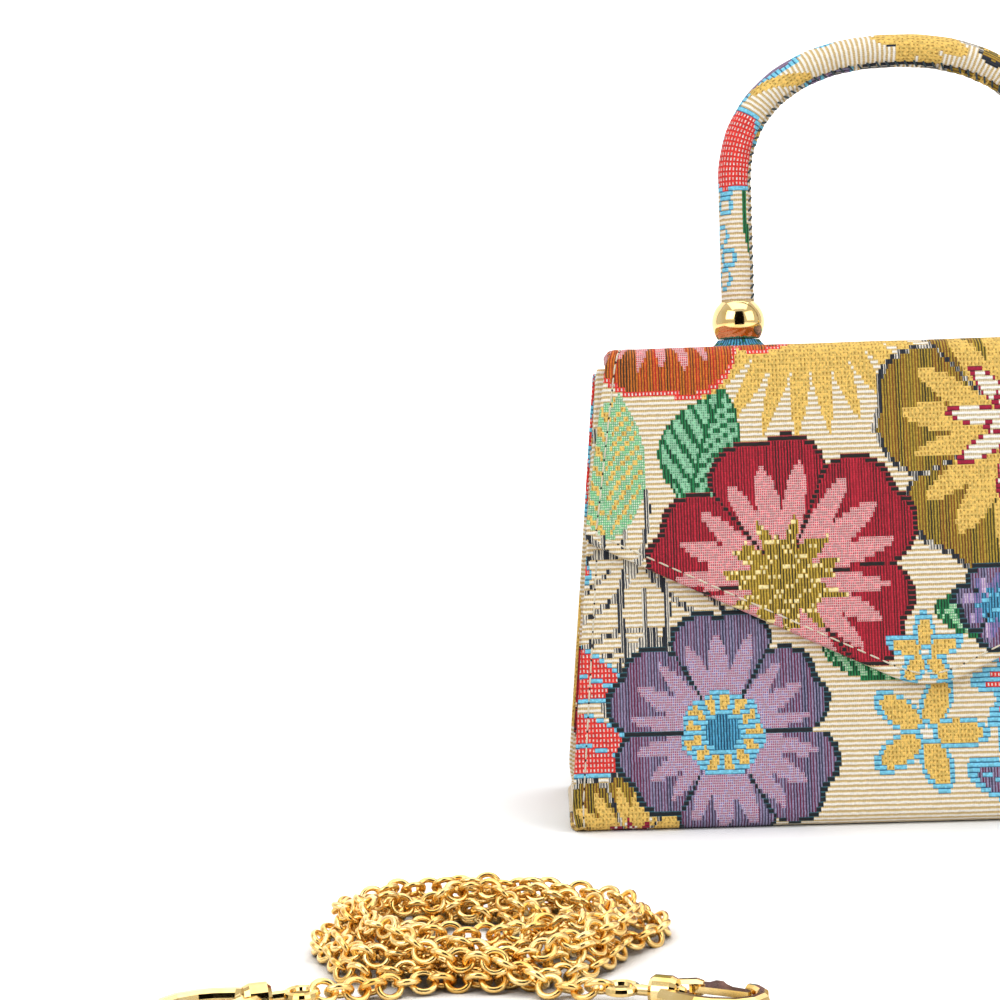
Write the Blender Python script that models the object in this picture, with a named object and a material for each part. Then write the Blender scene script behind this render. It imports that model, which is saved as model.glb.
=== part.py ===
"""Structured mini bag with a pointed flap and a top handle, its chain strap unclipped and heaped beside it.

Metres, +Z up. X runs across the bag, the front faces -Y and the underside of the bag lies on z = 0.
"""

import math

import bmesh
import bpy
from mathutils import Matrix, Vector

MM = 0.001

# Layers of the walls, and the space between pieces that touch.
FABRIC = 0.9 * MM
LINING = 0.6 * MM
BOARD = 1.6 * MM
FLAP_BOARD = 0.8 * MM
GAP = 0.3 * MM

# Body of the bag.
BAG_WIDTH = 207.0 * MM
RIM_WIDTH = 183.4 * MM
BAG_DEPTH = 72.0 * MM
RIM_DEPTH = 42.0 * MM
BODY_HEIGHT = 133.0 * MM
BOTTOM_RADIUS = 4.0 * MM
SEAM_FLANGE = 6.0 * MM
FOLD_DEPTH = 15.7 * MM
FOLD_FLAT = 12.0 * MM
FOLD_HEIGHT = 105.0 * MM
FOLD_CURVE = 1.6

# Flap, with the top of the bag in one piece with it.
FLAP_TOP_WIDTH = 176.4 * MM
FLAP_WIDTH = 194.0 * MM
FLAP_CORNER_HEIGHT = 83.3 * MM
FLAP_SLOPE = math.radians(25.4)
TIP_RADIUS = 24.0 * MM
FRONT_EDGE_RADIUS = 5.0 * MM
TOP_CLEARANCE = 1.55 * MM
FLAP_CLEARANCE = 0.4 * MM
BOARD_MARGIN = 5.0 * MM

# Handle and its ball ferrules.
HANDLE_SPAN = 95.8 * MM
HANDLE_DIAMETER = 9.7 * MM
HANDLE_STRAIGHT = 35.0 * MM
HANDLE_ARCH = 38.6 * MM
HANDLE_SQUARENESS = 2.25
BALL_DIAMETER = 16.0 * MM
BALL_TOP_CUT = 6.1 * MM
BALL_BOTTOM_CUT = 5.0 * MM
NECK_HEIGHT = 2.5 * MM
NECK_RADIUS = 5.9 * MM
NECK_FLARE = 2.2 * MM
SOCKET_DEPTH = 5.6 * MM
SCREW_DIAMETER = 3.2 * MM
SCREW_GRIP = 4.6 * MM
SCREW_HEAD_RADIUS = 2.8 * MM
SCREW_HEAD_HEIGHT = 1.2 * MM
HANDLE_WASHER_RADIUS = 5.0 * MM
WASHER_THICKNESS = 0.5 * MM

# Magnetic snap.
SNAP_HEIGHT = 56.0 * MM
SNAP_DIAMETER = 17.0 * MM
STUD_DIAMETER = 15.0 * MM
SOCKET_THICKNESS = 1.9 * MM
SOCKET_BORE = 7.0 * MM
SOCKET_FLOOR = 0.4 * MM
NUB_DIAMETER = 4.0 * MM
NUB_HEIGHT = 1.4 * MM
RIVET_DIAMETER = 4.4 * MM

# Strap rings at the top of the gussets.
RING_INSIDE_WIDTH = 11.0 * MM
RING_INSIDE_HEIGHT = 8.0 * MM
RING_WIRE = 2.0 * MM
RING_HEIGHT = 121.0 * MM
TAB_WIDTH = 8.5 * MM
TAB_LENGTH = 10.0 * MM
TAB_FABRIC = 1.0 * MM

# Chain strap: the heap, and what is at its two ends.
HEAP_CENTRE = (-126.0 * MM, -150.0 * MM)
HEAP_HALF_WIDTH = 43.5 * MM
HEAP_HALF_DEPTH = 36.5 * MM
HEAP_HEIGHT = 14.0 * MM
LINK_WIDTH = 6.0 * MM
LINK_WIRE = 1.5 * MM
LINK_COUNT = 64
HEAP_TURNS = 3.3
CHAIN_THICKNESS = 5.0 * MM
BARREL_RADIUS = 3.3 * MM
BARREL_LENGTH = 5.5 * MM
SWIVEL_STUD_RADIUS = 1.1 * MM
SWIVEL_HEAD_RADIUS = 1.6 * MM
SWIVEL_HEAD_LENGTH = 1.0 * MM
EYE_RADIUS = 3.0 * MM
EYE_WIRE = 1.9 * MM
EYE_REACH = 6.2 * MM
HOOK_LENGTH = 24.0 * MM
HOOK_HALF_WIDTH = 5.8 * MM
HOOK_WIRE = 3.2 * MM
LEVER_THICKNESS = 1.4 * MM
LEVER_WIDTH = 3.4 * MM
LEVER_PIN = 1.6 * MM
TAIL_LEAD = 4.0 * MM
CLASP_A = (-166.0 * MM, -193.0 * MM, math.radians(198.0))
CLASP_B = (-90.0 * MM, -195.0 * MM, math.radians(-20.0))

# Values that follow from the sizes above.
LEAN = math.atan2((BAG_DEPTH - RIM_DEPTH) / 2, BODY_HEIGHT)
TOP_THICKNESS = FABRIC + BOARD + LINING + 2 * GAP + 0.2 * MM
FLAP_THICKNESS = FABRIC + FLAP_BOARD + LINING + 2 * GAP
UNDERSIDE = BODY_HEIGHT + TOP_CLEARANCE
TOP = UNDERSIDE + TOP_THICKNESS
HINGE_RADIUS = TOP_THICKNESS / 2
HINGE_Y = RIM_DEPTH / 2 - HINGE_RADIUS - GAP - FLAP_CLEARANCE / 2
HINGE_Z = UNDERSIDE + HINGE_RADIUS
BALL_RADIUS = BALL_DIAMETER / 2
BALL_Z = TOP + NECK_HEIGHT + GAP + BALL_BOTTOM_CUT
HANDLE_FOOT = BALL_Z + BALL_TOP_CUT - SOCKET_DEPTH + GAP
HANDLE_SHOULDER = BALL_Z + BALL_TOP_CUT + HANDLE_STRAIGHT
FOLD_TOP_X = RIM_WIDTH / 2 - FOLD_DEPTH

COLLECTION = "crossbody_bag"

FINISHES = {
    "tapestry": ("B9A98C", 0.85, 0.0),
    "tapestry_side": ("B7A68A", 0.85, 0.0),
    "tapestry_flap": ("C2A878", 0.85, 0.0),
    "lining_cloth": ("CDBF9F", 0.8, 0.0),
    "greyboard": ("8C8478", 0.9, 0.0),
    "cord_core": ("D8D2C4", 0.8, 0.0),
    "pale_gold": ("D9BC7E", 0.2, 1.0),
    "chain_gold": ("D8AE5C", 0.25, 1.0),
    "snap_brass": ("C9A65E", 0.3, 1.0),
    "steel": ("A9A9A6", 0.35, 1.0),
}


def linear(code):
    """The linear colour of an sRGB hex code."""
    values = [int(code[i : i + 2], 16) / 255 for i in (0, 2, 4)]
    return [v / 12.92 if v <= 0.04045 else ((v + 0.055) / 1.055) ** 2.4 for v in values] + [1.0]


def finish(name, node):
    """A Principled material of one object, from a named finish."""
    code, roughness, metallic = FINISHES[name]
    material = bpy.data.materials.new(f"{node}_{name}")
    material.use_nodes = True
    shader = material.node_tree.nodes["Principled BSDF"]
    shader.inputs["Base Color"].default_value = linear(code)
    shader.inputs["Roughness"].default_value = roughness
    shader.inputs["Metallic"].default_value = metallic
    material.diffuse_color = linear(code)
    return material


def clear_scene():
    """Removes the start-up objects and makes the two collections."""
    for item in list(bpy.data.objects):
        bpy.data.objects.remove(item)
    made = {}
    for name in (COLLECTION, "cutters"):
        made[name] = bpy.data.collections.new(name)
        bpy.context.scene.collection.children.link(made[name])
    return made


COLLECTIONS = clear_scene()


def place(name, data, look, origin=(0, 0, 0), smooth=False):
    """Links an object of the bag with its own material; origin is where its mesh's zero lies."""
    item = bpy.data.objects.new(name, data)
    item.location = origin
    COLLECTIONS[COLLECTION].objects.link(item)
    data.materials.clear()
    data.materials.append(finish(look, name))
    if smooth and hasattr(data, "polygons"):
        data.polygons.foreach_set("use_smooth", [True] * len(data.polygons))
        data.set_sharp_from_angle(angle=math.radians(40))
    return item


def helper(name, data, origin=(0, 0, 0)):
    """Links a cutting or joining body that is not part of the bag."""
    item = bpy.data.objects.new(name, data)
    item.location = origin
    item.hide_render = True
    item.display_type = "WIRE"
    COLLECTIONS["cutters"].objects.link(item)
    return item


def combine(item, other, operation):
    """Adds an exact Boolean to an object."""
    modifier = item.modifiers.new(f"{operation.lower()}_{other.name}", "BOOLEAN")
    modifier.operation = operation
    modifier.solver = "EXACT"
    modifier.object = other
    return modifier


def mesh_of(name, points, faces):
    """A mesh with its faces turned outwards."""
    data = bpy.data.meshes.new(name)
    data.from_pydata([tuple(p) for p in points], [], faces)
    work = bmesh.new()
    work.from_mesh(data)
    bmesh.ops.recalc_face_normals(work, faces=work.faces)
    work.to_mesh(data)
    work.free()
    return data


def baked(item):
    """The mesh that an object has with its modifiers, in its own space."""
    bpy.context.view_layer.update()
    graph = bpy.context.evaluated_depsgraph_get()
    return bpy.data.meshes.new_from_object(item.evaluated_get(graph))


class Solid:
    """Points and faces of one closed body, put together from grids and strips."""

    def __init__(self):
        self.points = []
        self.faces = []

    def quad(self, low, low_next, high_next, high):
        """Adds a four-sided face as two triangles, split from its lower corner that lies furthest out."""
        if abs(self.points[low].x) > abs(self.points[low_next].x):
            self.faces += [(low, low_next, high_next), (low, high_next, high)]
        else:
            self.faces += [(low, low_next, high), (low_next, high_next, high)]

    def loop(self, points):
        """Adds points and gives their numbers."""
        start = len(self.points)
        self.points.extend(Vector(p) for p in points)
        return list(range(start, len(self.points)))

    def grid(self, rows):
        """Adds a grid of points with its faces, and gives its rows of numbers."""
        rows = [self.loop(row) for row in rows]
        for low, high in zip(rows, rows[1:]):
            for i in range(len(low) - 1):
                self.quad(low[i], low[i + 1], high[i + 1], high[i])
        return rows

    def strip(self, first, second, closed=True):
        """Joins two lines of numbers of one length."""
        count = len(first)
        for i in range(count if closed else count - 1):
            j = (i + 1) % count
            self.quad(first[i], first[j], second[j], second[i])

    def mesh(self, name):
        """The finished mesh."""
        return mesh_of(name, self.points, self.faces)


def border(rows):
    """The numbers round the edge of a grid, in order."""
    left = [row[0] for row in rows[1:-1]]
    right = [row[-1] for row in rows[1:-1]]
    return rows[0] + right + rows[-1][::-1] + left[::-1]


def shell(name, outer, inner):
    """A sheet with thickness, from its two faces."""
    solid = Solid()
    first, second = solid.grid(outer), solid.grid(inner)
    solid.strip(border(first), border(second))
    return solid.mesh(name)


def loft(name, sections):
    """A solid through closed sections of one length, with flat ends."""
    solid = Solid()
    loops = [solid.loop(section) for section in sections]
    for low, high in zip(loops, loops[1:]):
        solid.strip(low, high)
    solid.faces.append(tuple(loops[0]))
    solid.faces.append(tuple(loops[-1][::-1]))
    return solid.mesh(name)


def lathe(name, profile, sides=32):
    """A body turned about Z from (radius, height) points that run round its closed section."""
    solid = Solid()
    rings = []
    for radius, height in profile:
        if radius < 1e-9:
            rings.append(solid.loop([(0, 0, height)]))
            continue
        turns = [2 * math.pi * i / sides for i in range(sides)]
        rings.append(solid.loop([(radius * math.cos(a), radius * math.sin(a), height) for a in turns]))
    closed = all(len(ring) > 1 for ring in rings)
    for low, high in zip(rings, rings[1:] + rings[:1] if closed else rings[1:]):
        if len(low) == 1 and len(high) == 1:
            continue
        if len(low) == 1 or len(high) == 1:
            centre, ring = (low[0], high) if len(low) == 1 else (high[0], low)
            for i in range(sides):
                solid.faces.append((centre, ring[i], ring[(i + 1) % sides]))
            continue
        solid.strip(low, high)
    return solid.mesh(name)


def turned(data, matrix):
    """The mesh after a turn or a move of its points."""
    data.transform(matrix)
    return data


def cylinder(name, radius, low, high, axis=None, sides=32):
    """A cylinder from low to high along an axis through its zero, for cutting."""
    data = lathe(name, [(0, low), (radius, low), (radius, high), (0, high)], sides)
    if axis is not None:
        data.transform(Vector((0, 0, 1)).rotation_difference(Vector(axis)).to_matrix().to_4x4())
    return data


def box_mesh(name, low, high):
    """A rectangular block between two corners."""
    return loft(
        name,
        [
            [(low[0], low[1], z), (high[0], low[1], z), (high[0], high[1], z), (low[0], high[1], z)]
            for z in (low[2], high[2])
        ],
    )


# Shape of the body at each height.


def half_width(z):
    """Half the front panel's width at a height."""
    return (BAG_WIDTH - (BAG_WIDTH - RIM_WIDTH) * z / BODY_HEIGHT) / 2


def wall_y(z, inset=0.0):
    """Distance of a front or back layer from the middle plane, inset being measured square to the wall."""
    return BAG_DEPTH / 2 - math.tan(LEAN) * z - inset / math.cos(LEAN)


def corner_y(z, inset):
    """Distance of a layer from the middle plane, round the bottom corner as well as up the wall."""
    tangent = BOTTOM_RADIUS * math.tan((math.pi / 2 + LEAN) / 2)
    reach, rise = BOTTOM_RADIUS - inset, BOTTOM_RADIUS - z
    if rise <= 0:
        return wall_y(z, inset)
    return min(wall_y(z, inset), BAG_DEPTH / 2 - tangent + math.sqrt(max(reach**2 - rise**2, 0.0)))


def fold_x(z):
    """Distance of the gusset's folded middle from the bag's middle."""
    low = BAG_WIDTH / 2 - SEAM_FLANGE
    rest = max(0.0, 1 - z / FOLD_HEIGHT) ** FOLD_CURVE
    return FOLD_TOP_X + (low - FOLD_TOP_X) * rest


def wall_frame(height, offset=0.0):
    """A point on the front wall, offset outwards, and the matrix that turns Z to the wall's outward normal."""
    normal = Vector((0, -math.cos(LEAN), math.sin(LEAN)))
    point = Vector((0, -wall_y(height), height)) + normal * offset
    turn = Vector((0, 0, 1)).rotation_difference(normal).to_matrix().to_4x4()
    return Matrix.Translation(point) @ turn


def heights(low, high):
    """The heights at which side pieces have a section."""
    marks = [BOTTOM_RADIUS * f for f in (0.35, 0.5, 0.72, 1.0)]
    marks += [FOLD_HEIGHT * f for f in (0.12, 0.25, 0.4, 0.6, 0.8, 1.0)]
    return [low] + [z for z in marks if low < z < high] + [high]


def wrap_path(offset):
    """(y, z, height used for the width) from the underside's middle to the rim at the back."""
    radius = BOTTOM_RADIUS
    tangent = radius * math.tan((math.pi / 2 + LEAN) / 2)
    centre_y = BAG_DEPTH / 2 - tangent
    points = [(0.0, offset), (centre_y / 2, offset)]
    steps = 5
    for i in range(steps + 1):
        angle = -math.pi / 2 + (math.pi / 2 + LEAN) * i / steps
        reach = radius - offset
        points.append((centre_y + reach * math.cos(angle), radius + reach * math.sin(angle)))
    start = points[-1][1]
    for i in range(1, 6):
        z = start + (BODY_HEIGHT - start) * i / 5
        points.append((wall_y(z, offset), z))
    return points


def make_body_wrap():
    """Front, underside and back in one wrapped piece of fabric, with the hole of the snap."""
    columns = (-1.0, -0.5, 0.0, 0.5, 1.0)

    def rows(offset):
        back = wrap_path(offset)
        outer = wrap_path(0.0)
        path = [(-y, z, w[1]) for (y, z), w in zip(back[:0:-1], outer[:0:-1])]
        path += [(y, z, w[1]) for (y, z), w in zip(back, outer)]
        return [[(c * half_width(w), y, z) for c in columns] for y, z, w in path]

    item = place("body_wrap", shell("body_wrap", rows(0.0), rows(FABRIC)), "tapestry", smooth=True)
    hole = cylinder("snap_hole", SNAP_DIAMETER / 2 + GAP, -BOARD * 3, FABRIC, sides=28)
    combine(item, helper("snap_hole", turned(hole, wall_frame(SNAP_HEIGHT))), "DIFFERENCE")


def offset_line(points, distance):
    """An open line of (x, y) points moved to its left by a distance, with mitred corners."""
    moved = []
    for i, point in enumerate(points):
        sides = []
        for a, b in ((i - 1, i), (i, i + 1)):
            if a >= 0 and b < len(points):
                along = (Vector(points[b]) - Vector(points[a])).normalized()
                sides.append(Vector((-along.y, along.x)))
        normal = sum(sides, Vector((0, 0))).normalized()
        moved.append(Vector(point) + normal * distance / normal.dot(sides[0]))
    return [tuple(p) for p in moved]


def gusset_line(z):
    """The gusset's inner face at a height, from the front seam to the back seam of the left side."""
    edge = half_width(z) - FABRIC
    flange = half_width(z) - SEAM_FLANGE
    seam = corner_y(z, FABRIC + GAP)
    middle = min(fold_x(z), flange - GAP)
    return [
        (-edge, -seam),
        (-flange, -seam),
        (-middle, -FOLD_FLAT / 2),
        (-middle, FOLD_FLAT / 2),
        (-flange, seam),
        (-edge, seam),
    ]


def make_gusset(side, name):
    """A side panel whose middle folds into the bag, sewn inside the edges of front and back."""
    inner, outer = [], []
    for z in heights(FABRIC + GAP, BODY_HEIGHT):
        line = gusset_line(z)
        inner.append([(-side * x, y, z) for x, y in line])
        outer.append([(-side * x, y, z) for x, y in offset_line(line, FABRIC)])
    place(name, shell(name, outer, inner), "tapestry_side")


def across(first, second, y):
    """Where the line through two (x, y) points is at a given y."""
    share = (y - first[1]) / (second[1] - first[1])
    return (first[0] + (second[0] - first[0]) * share, y)


def lining_section(z, inset):
    """The lining's closed outline at a height, inset being added to its outer face."""
    front = wall_y(z, FABRIC + BOARD + 2 * GAP + inset)
    line = offset_line(gusset_line(z)[1:5], -(1.5 * GAP + inset))
    left = [across(line[0], line[1], -front), line[1], line[2], across(line[3], line[2], front)]
    right = [(-x, y) for x, y in reversed(left)]
    return [(x, y, z) for x, y in left + right]


def make_lining():
    """The cloth lining: one bag inside the boards, open at the rim."""
    bottom = FABRIC + BOARD + 2 * GAP
    solid = Solid()
    outer = [solid.loop(lining_section(z, 0.0)) for z in heights(bottom, BODY_HEIGHT - GAP)]
    inner = [solid.loop(lining_section(z, LINING)) for z in heights(bottom + LINING, BODY_HEIGHT - GAP)]
    for loops in (outer, inner):
        for low, high in zip(loops, loops[1:]):
            solid.strip(low, high)
        solid.faces.append(tuple(loops[0]))
    solid.strip(outer[-1], inner[-1])
    place("lining", solid.mesh("lining"), "lining_cloth")


def make_wall_board(side, name):
    """A stiffening board in the front or back wall."""
    low, high = BOTTOM_RADIUS + FABRIC, BODY_HEIGHT - SEAM_FLANGE
    sections = []
    for z in (low, high):
        near = wall_y(z, FABRIC + GAP)
        far = wall_y(z, FABRIC + GAP + BOARD)
        line = gusset_line(z)
        width = -across(line[1], line[2], -far)[0] - 3 * GAP
        sections.append([(-width, side * near, z), (width, side * near, z), (width, side * far, z), (-width, side * far, z)])
    item = place(name, loft(name, sections), "greyboard")
    return item


def make_boards():
    """Front, back and base boards; the front one has the snap's hole."""
    front = make_wall_board(-1, "front_board")
    combine(front, bpy.data.objects["snap_hole"], "DIFFERENCE")
    make_wall_board(1, "back_board")
    half = BAG_WIDTH / 2 - SEAM_FLANGE - FABRIC
    depth = BAG_DEPTH / 2 - BOTTOM_RADIUS - FABRIC - GAP
    low, high = FABRIC + GAP, FABRIC + GAP + BOARD
    place("base_board", box_mesh("base_board", (-half, -depth, low), (half, depth, high)), "greyboard")


# Snap, with the stud on the flap.


def make_snap():
    """The socket in the front wall and the stud inside the flap, each with a washer on its rivet."""
    radius, bore = SNAP_DIAMETER / 2, SOCKET_BORE / 2
    rivet = RIVET_DIAMETER / 2
    washer_top = -SOCKET_THICKNESS - GAP
    rivet_end = washer_top - WASHER_THICKNESS - GAP / 2
    profile = [
        (0, rivet_end),
        (rivet, rivet_end),
        (rivet, -SOCKET_THICKNESS),
        (radius, -SOCKET_THICKNESS),
        (radius, -GAP),
        (radius - GAP, 0),
        (bore + GAP, 0),
        (bore, -GAP),
        (bore, -SOCKET_THICKNESS + SOCKET_FLOOR),
        (0, -SOCKET_THICKNESS + SOCKET_FLOOR),
    ]
    at_wall = wall_frame(SNAP_HEIGHT)
    place("snap_socket", turned(lathe("snap_socket", profile, 28), at_wall), "snap_brass", smooth=True)
    washer = make_ring_mesh("snap_socket_washer", rivet + GAP, radius - FABRIC, washer_top - WASHER_THICKNESS, washer_top)
    place("snap_socket_washer", turned(washer, at_wall), "steel")
    face = FLAP_CLEARANCE
    back = face + LINING + GAP / 2
    stud_rivet = NUB_DIAMETER / 2 - GAP
    plate_top = back + GAP
    stud_end = FLAP_CLEARANCE + FLAP_THICKNESS - FABRIC - GAP
    stud = [
        (0, face - NUB_HEIGHT),
        (NUB_DIAMETER / 2 - GAP, face - NUB_HEIGHT),
        (NUB_DIAMETER / 2, face - NUB_HEIGHT + GAP),
        (NUB_DIAMETER / 2, face),
        (STUD_DIAMETER / 2, face),
        (STUD_DIAMETER / 2, back),
        (stud_rivet, back),
        (stud_rivet, stud_end),
        (0, stud_end),
    ]
    place("snap_stud", turned(lathe("snap_stud", stud, 28), at_wall), "snap_brass", smooth=True)
    outer = STUD_DIAMETER / 2 - FABRIC
    plate = make_ring_mesh("snap_stud_washer", stud_rivet + GAP, outer, plate_top, stud_end - GAP / 3)
    place("snap_stud_washer", turned(plate, at_wall), "steel")


def make_ring_mesh(name, inner, outer, low, high, sides=24):
    """A flat washer about Z."""
    return lathe(name, [(inner, low), (outer, low), (outer, high), (inner, high)], sides)


# Flap.


def flap_front_y(z):
    """The flap's outer face in front of the bag at a height."""
    return -wall_y(z, -(FLAP_CLEARANCE + FLAP_THICKNESS))


def flap_edge(x):
    """Height of the flap's lower edge at a distance from its middle."""
    x = abs(x)
    apex = FLAP_CORNER_HEIGHT - FLAP_WIDTH / 2 * math.tan(FLAP_SLOPE)
    if x < TIP_RADIUS * math.sin(FLAP_SLOPE):
        return apex + TIP_RADIUS / math.cos(FLAP_SLOPE) - math.sqrt(TIP_RADIUS**2 - x * x)
    return apex + x * math.tan(FLAP_SLOPE)


def flap_half_width(z):
    """Half the flap's width at a height; it widens downwards to its corners."""
    share = (TOP - max(z, FLAP_CORNER_HEIGHT)) / (TOP - FLAP_CORNER_HEIGHT)
    return (FLAP_TOP_WIDTH + (FLAP_WIDTH - FLAP_TOP_WIDTH) * min(max(share, 0.0), 1.0)) / 2


def flap_columns():
    """Places across the flap, as shares of its half width, close together at the rounded tip."""
    tip = TIP_RADIUS * math.sin(FLAP_SLOPE) / (FLAP_WIDTH / 2)
    right = [0.0, tip / 3, tip * 2 / 3, tip, 0.3, 0.55, 0.8, 1.0]
    return [-c for c in right[:0:-1]] + right


def flap_stations(inset, hinge):
    """(y, z, outward normal, kind, share of the front corner) along the flap's outer face above its front."""
    stations = []
    if hinge:
        for i in range(5):
            angle = -math.pi / 2 + math.pi * i / 4
            if i == 0:
                angle += inset / HINGE_RADIUS
            normal = (math.cos(angle), math.sin(angle))
            stations.append((HINGE_Y + HINGE_RADIUS * normal[0], HINGE_Z + HINGE_RADIUS * normal[1], normal, "hinge", 0.0))
    else:
        stations.append((HINGE_Y - 2 * GAP, TOP, (0.0, 1.0), "top", 0.0))
    radius = FRONT_EDGE_RADIUS
    turn = math.pi / 2 - LEAN
    apex_y = flap_front_y(TOP)
    centre_y = apex_y + radius * math.tan(turn / 2)
    for share in (0.35, 0.7):
        stations.append((HINGE_Y + (centre_y - HINGE_Y) * share, TOP, (0.0, 1.0), "top", 0.0))
    for i in range(5):
        angle = math.pi / 2 + turn * i / 4
        normal = (math.cos(angle), math.sin(angle))
        stations.append((centre_y + radius * normal[0], TOP - radius + radius * normal[1], normal, "corner", i / 4))
    return stations


def flap_rows(depth, inset=0.0, hinge=True, margin=0.0):
    """A grid over the flap at a depth under its outer face; depth is called with a station's kind and share."""
    stations = flap_stations(inset, hinge)
    rows = []
    columns = flap_columns()
    for y, z, (ny, nz), kind, share in stations:
        d = depth(kind, share)
        width = flap_half_width(z) - inset
        rows.append([(c * width, y - ny * d, z - nz * d) for c in columns])
    start = stations[-1][1]
    ny, nz = -math.cos(LEAN), math.sin(LEAN)
    d = depth("front", 1.0)
    for step in range(1, 6):
        row = []
        for c in columns:
            full = c * (FLAP_WIDTH / 2 - inset)
            end = flap_edge(full) + inset / math.cos(FLAP_SLOPE) + margin
            z = start + (end - start) * step / 5
            x = c * (flap_half_width(z) - inset)
            row.append((x, flap_front_y(z) - ny * d, z - nz * d))
        rows.append(row)
    return rows


def rim_depth(kind, share):
    """How far the cover is turned in round the flap's edge."""
    if kind == "hinge":
        return HINGE_RADIUS * 0.84
    if kind == "top":
        return TOP_THICKNESS
    if kind == "corner":
        return TOP_THICKNESS + (FLAP_THICKNESS - TOP_THICKNESS) * share
    return FLAP_THICKNESS


def make_flap_cover():
    """The flap's fabric, turned in at its edges and pulled up into a neck under each ferrule."""
    solid = Solid()
    outer = solid.grid(flap_rows(lambda kind, share: 0.0))
    floor = solid.grid(flap_rows(lambda kind, share: FABRIC, FABRIC))
    rim_out = flap_rows(rim_depth)
    rim_in = flap_rows(rim_depth, FABRIC)
    outside = solid.loop([rim_out[r][c] for r, c in border_cells(rim_out)])
    inside = solid.loop([rim_in[r][c] for r, c in border_cells(rim_in)])
    solid.strip(border(outer), outside)
    solid.strip(outside, inside)
    solid.strip(inside, border(floor))
    item = place("flap_cover", solid.mesh("flap_cover"), "tapestry_flap", smooth=True)
    for side, end in ((-1, "left"), (1, "right")):
        x = side * HANDLE_SPAN / 2
        sink = FABRIC / 2
        neck = lathe(
            f"neck_{end}",
            [
                (0, -sink),
                (NECK_RADIUS + NECK_FLARE, -sink),
                (NECK_RADIUS + NECK_FLARE, 0),
                (NECK_RADIUS + NECK_FLARE / 4, NECK_HEIGHT * 0.4),
                (NECK_RADIUS, NECK_HEIGHT),
                (0, NECK_HEIGHT),
            ],
            20,
        )
        combine(item, helper(f"neck_{end}", neck, (x, 0, TOP)), "UNION")
        hole = cylinder(f"screw_hole_{end}", SCREW_DIAMETER / 2 + GAP, -TOP_THICKNESS * 2, NECK_HEIGHT * 2, sides=16)
        combine(item, helper(f"screw_hole_{end}", hole, (x, 0, TOP)), "DIFFERENCE")


def border_cells(rows):
    """Row and column numbers round a grid, in the order of border()."""
    last, width = len(rows) - 1, len(rows[0])
    cells = [(0, c) for c in range(width)]
    cells += [(r, width - 1) for r in range(1, last)]
    cells += [(last, c) for c in reversed(range(width))]
    cells += [(r, 0) for r in reversed(range(1, last))]
    return cells


def make_flap_lining():
    """Cloth under the top and behind the flap, with holes for the handle's washers and the stud."""

    def under(kind, share):
        return rim_depth(kind, share)

    def over(kind, share):
        return rim_depth(kind, share) - LINING

    inset = FABRIC + GAP
    data = shell("flap_lining", flap_rows(over, inset, hinge=False), flap_rows(under, inset, hinge=False))
    item = place("flap_lining", data, "lining_cloth", smooth=True)
    for side, end in ((-1, "left"), (1, "right")):
        hole = cylinder(f"washer_hole_{end}", HANDLE_WASHER_RADIUS + GAP, -LINING * 3, LINING * 3, sides=20)
        place_at = (side * HANDLE_SPAN / 2, 0, UNDERSIDE)
        combine(item, helper(f"washer_hole_{end}", hole, place_at), "DIFFERENCE")
    hole = cylinder("stud_hole", STUD_DIAMETER / 2 + GAP, -LINING, FLAP_CLEARANCE + FLAP_THICKNESS - FABRIC - GAP / 2)
    combine(item, helper("stud_hole", turned(hole, wall_frame(SNAP_HEIGHT))), "DIFFERENCE")


def make_flap_boards():
    """The board of the top, drilled for the handle, and the thin board of the flap, with the stud's hole."""
    high = TOP - FABRIC - GAP
    low = UNDERSIDE + LINING + GAP
    half = FLAP_TOP_WIDTH / 2 - BOARD_MARGIN
    front = flap_front_y(TOP) + FRONT_EDGE_RADIUS
    back = HINGE_Y - HINGE_RADIUS
    top = place("top_board", box_mesh("top_board", (-half, front, low), (half, back, high)), "greyboard")
    for end in ("left", "right"):
        combine(top, bpy.data.objects[f"screw_hole_{end}"], "DIFFERENCE")
    near, far = FABRIC + GAP, FABRIC + GAP + FLAP_BOARD
    start = BODY_HEIGHT - BOARD_MARGIN

    def face(depth):
        rows = []
        ny, nz = -math.cos(LEAN), math.sin(LEAN)
        for step in range(3):
            row = []
            for c in flap_columns():
                x_end = c * (FLAP_WIDTH / 2 - BOARD_MARGIN)
                end = flap_edge(x_end) + BOARD_MARGIN
                z = start + (end - start) * step / 2
                x = c * (flap_half_width(z) - BOARD_MARGIN)
                row.append((x, flap_front_y(z) - ny * depth, z - nz * depth))
            rows.append(row)
        return rows

    board = place("flap_board", shell("flap_board", face(near), face(far)), "greyboard")
    combine(board, bpy.data.objects["stud_hole"], "DIFFERENCE")


# Handle.


def handle_path(low):
    """The handle's centre line as (x, z), from the left foot over the arch to the right foot."""
    half = HANDLE_SPAN / 2
    left = [(-half, low), (-half, (low + HANDLE_SHOULDER) / 2)]
    steps = 24
    arch = []
    for i in range(steps + 1):
        angle = math.pi * i / steps
        c, s = math.cos(angle), math.sin(angle)
        power = 2 / HANDLE_SQUARENESS
        x = -half * math.copysign(abs(c) ** power, c)
        arch.append((x, HANDLE_SHOULDER + HANDLE_ARCH * abs(s) ** power))
    right = [(-x, z) for x, z in reversed(left)]
    return left + arch + right


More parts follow.
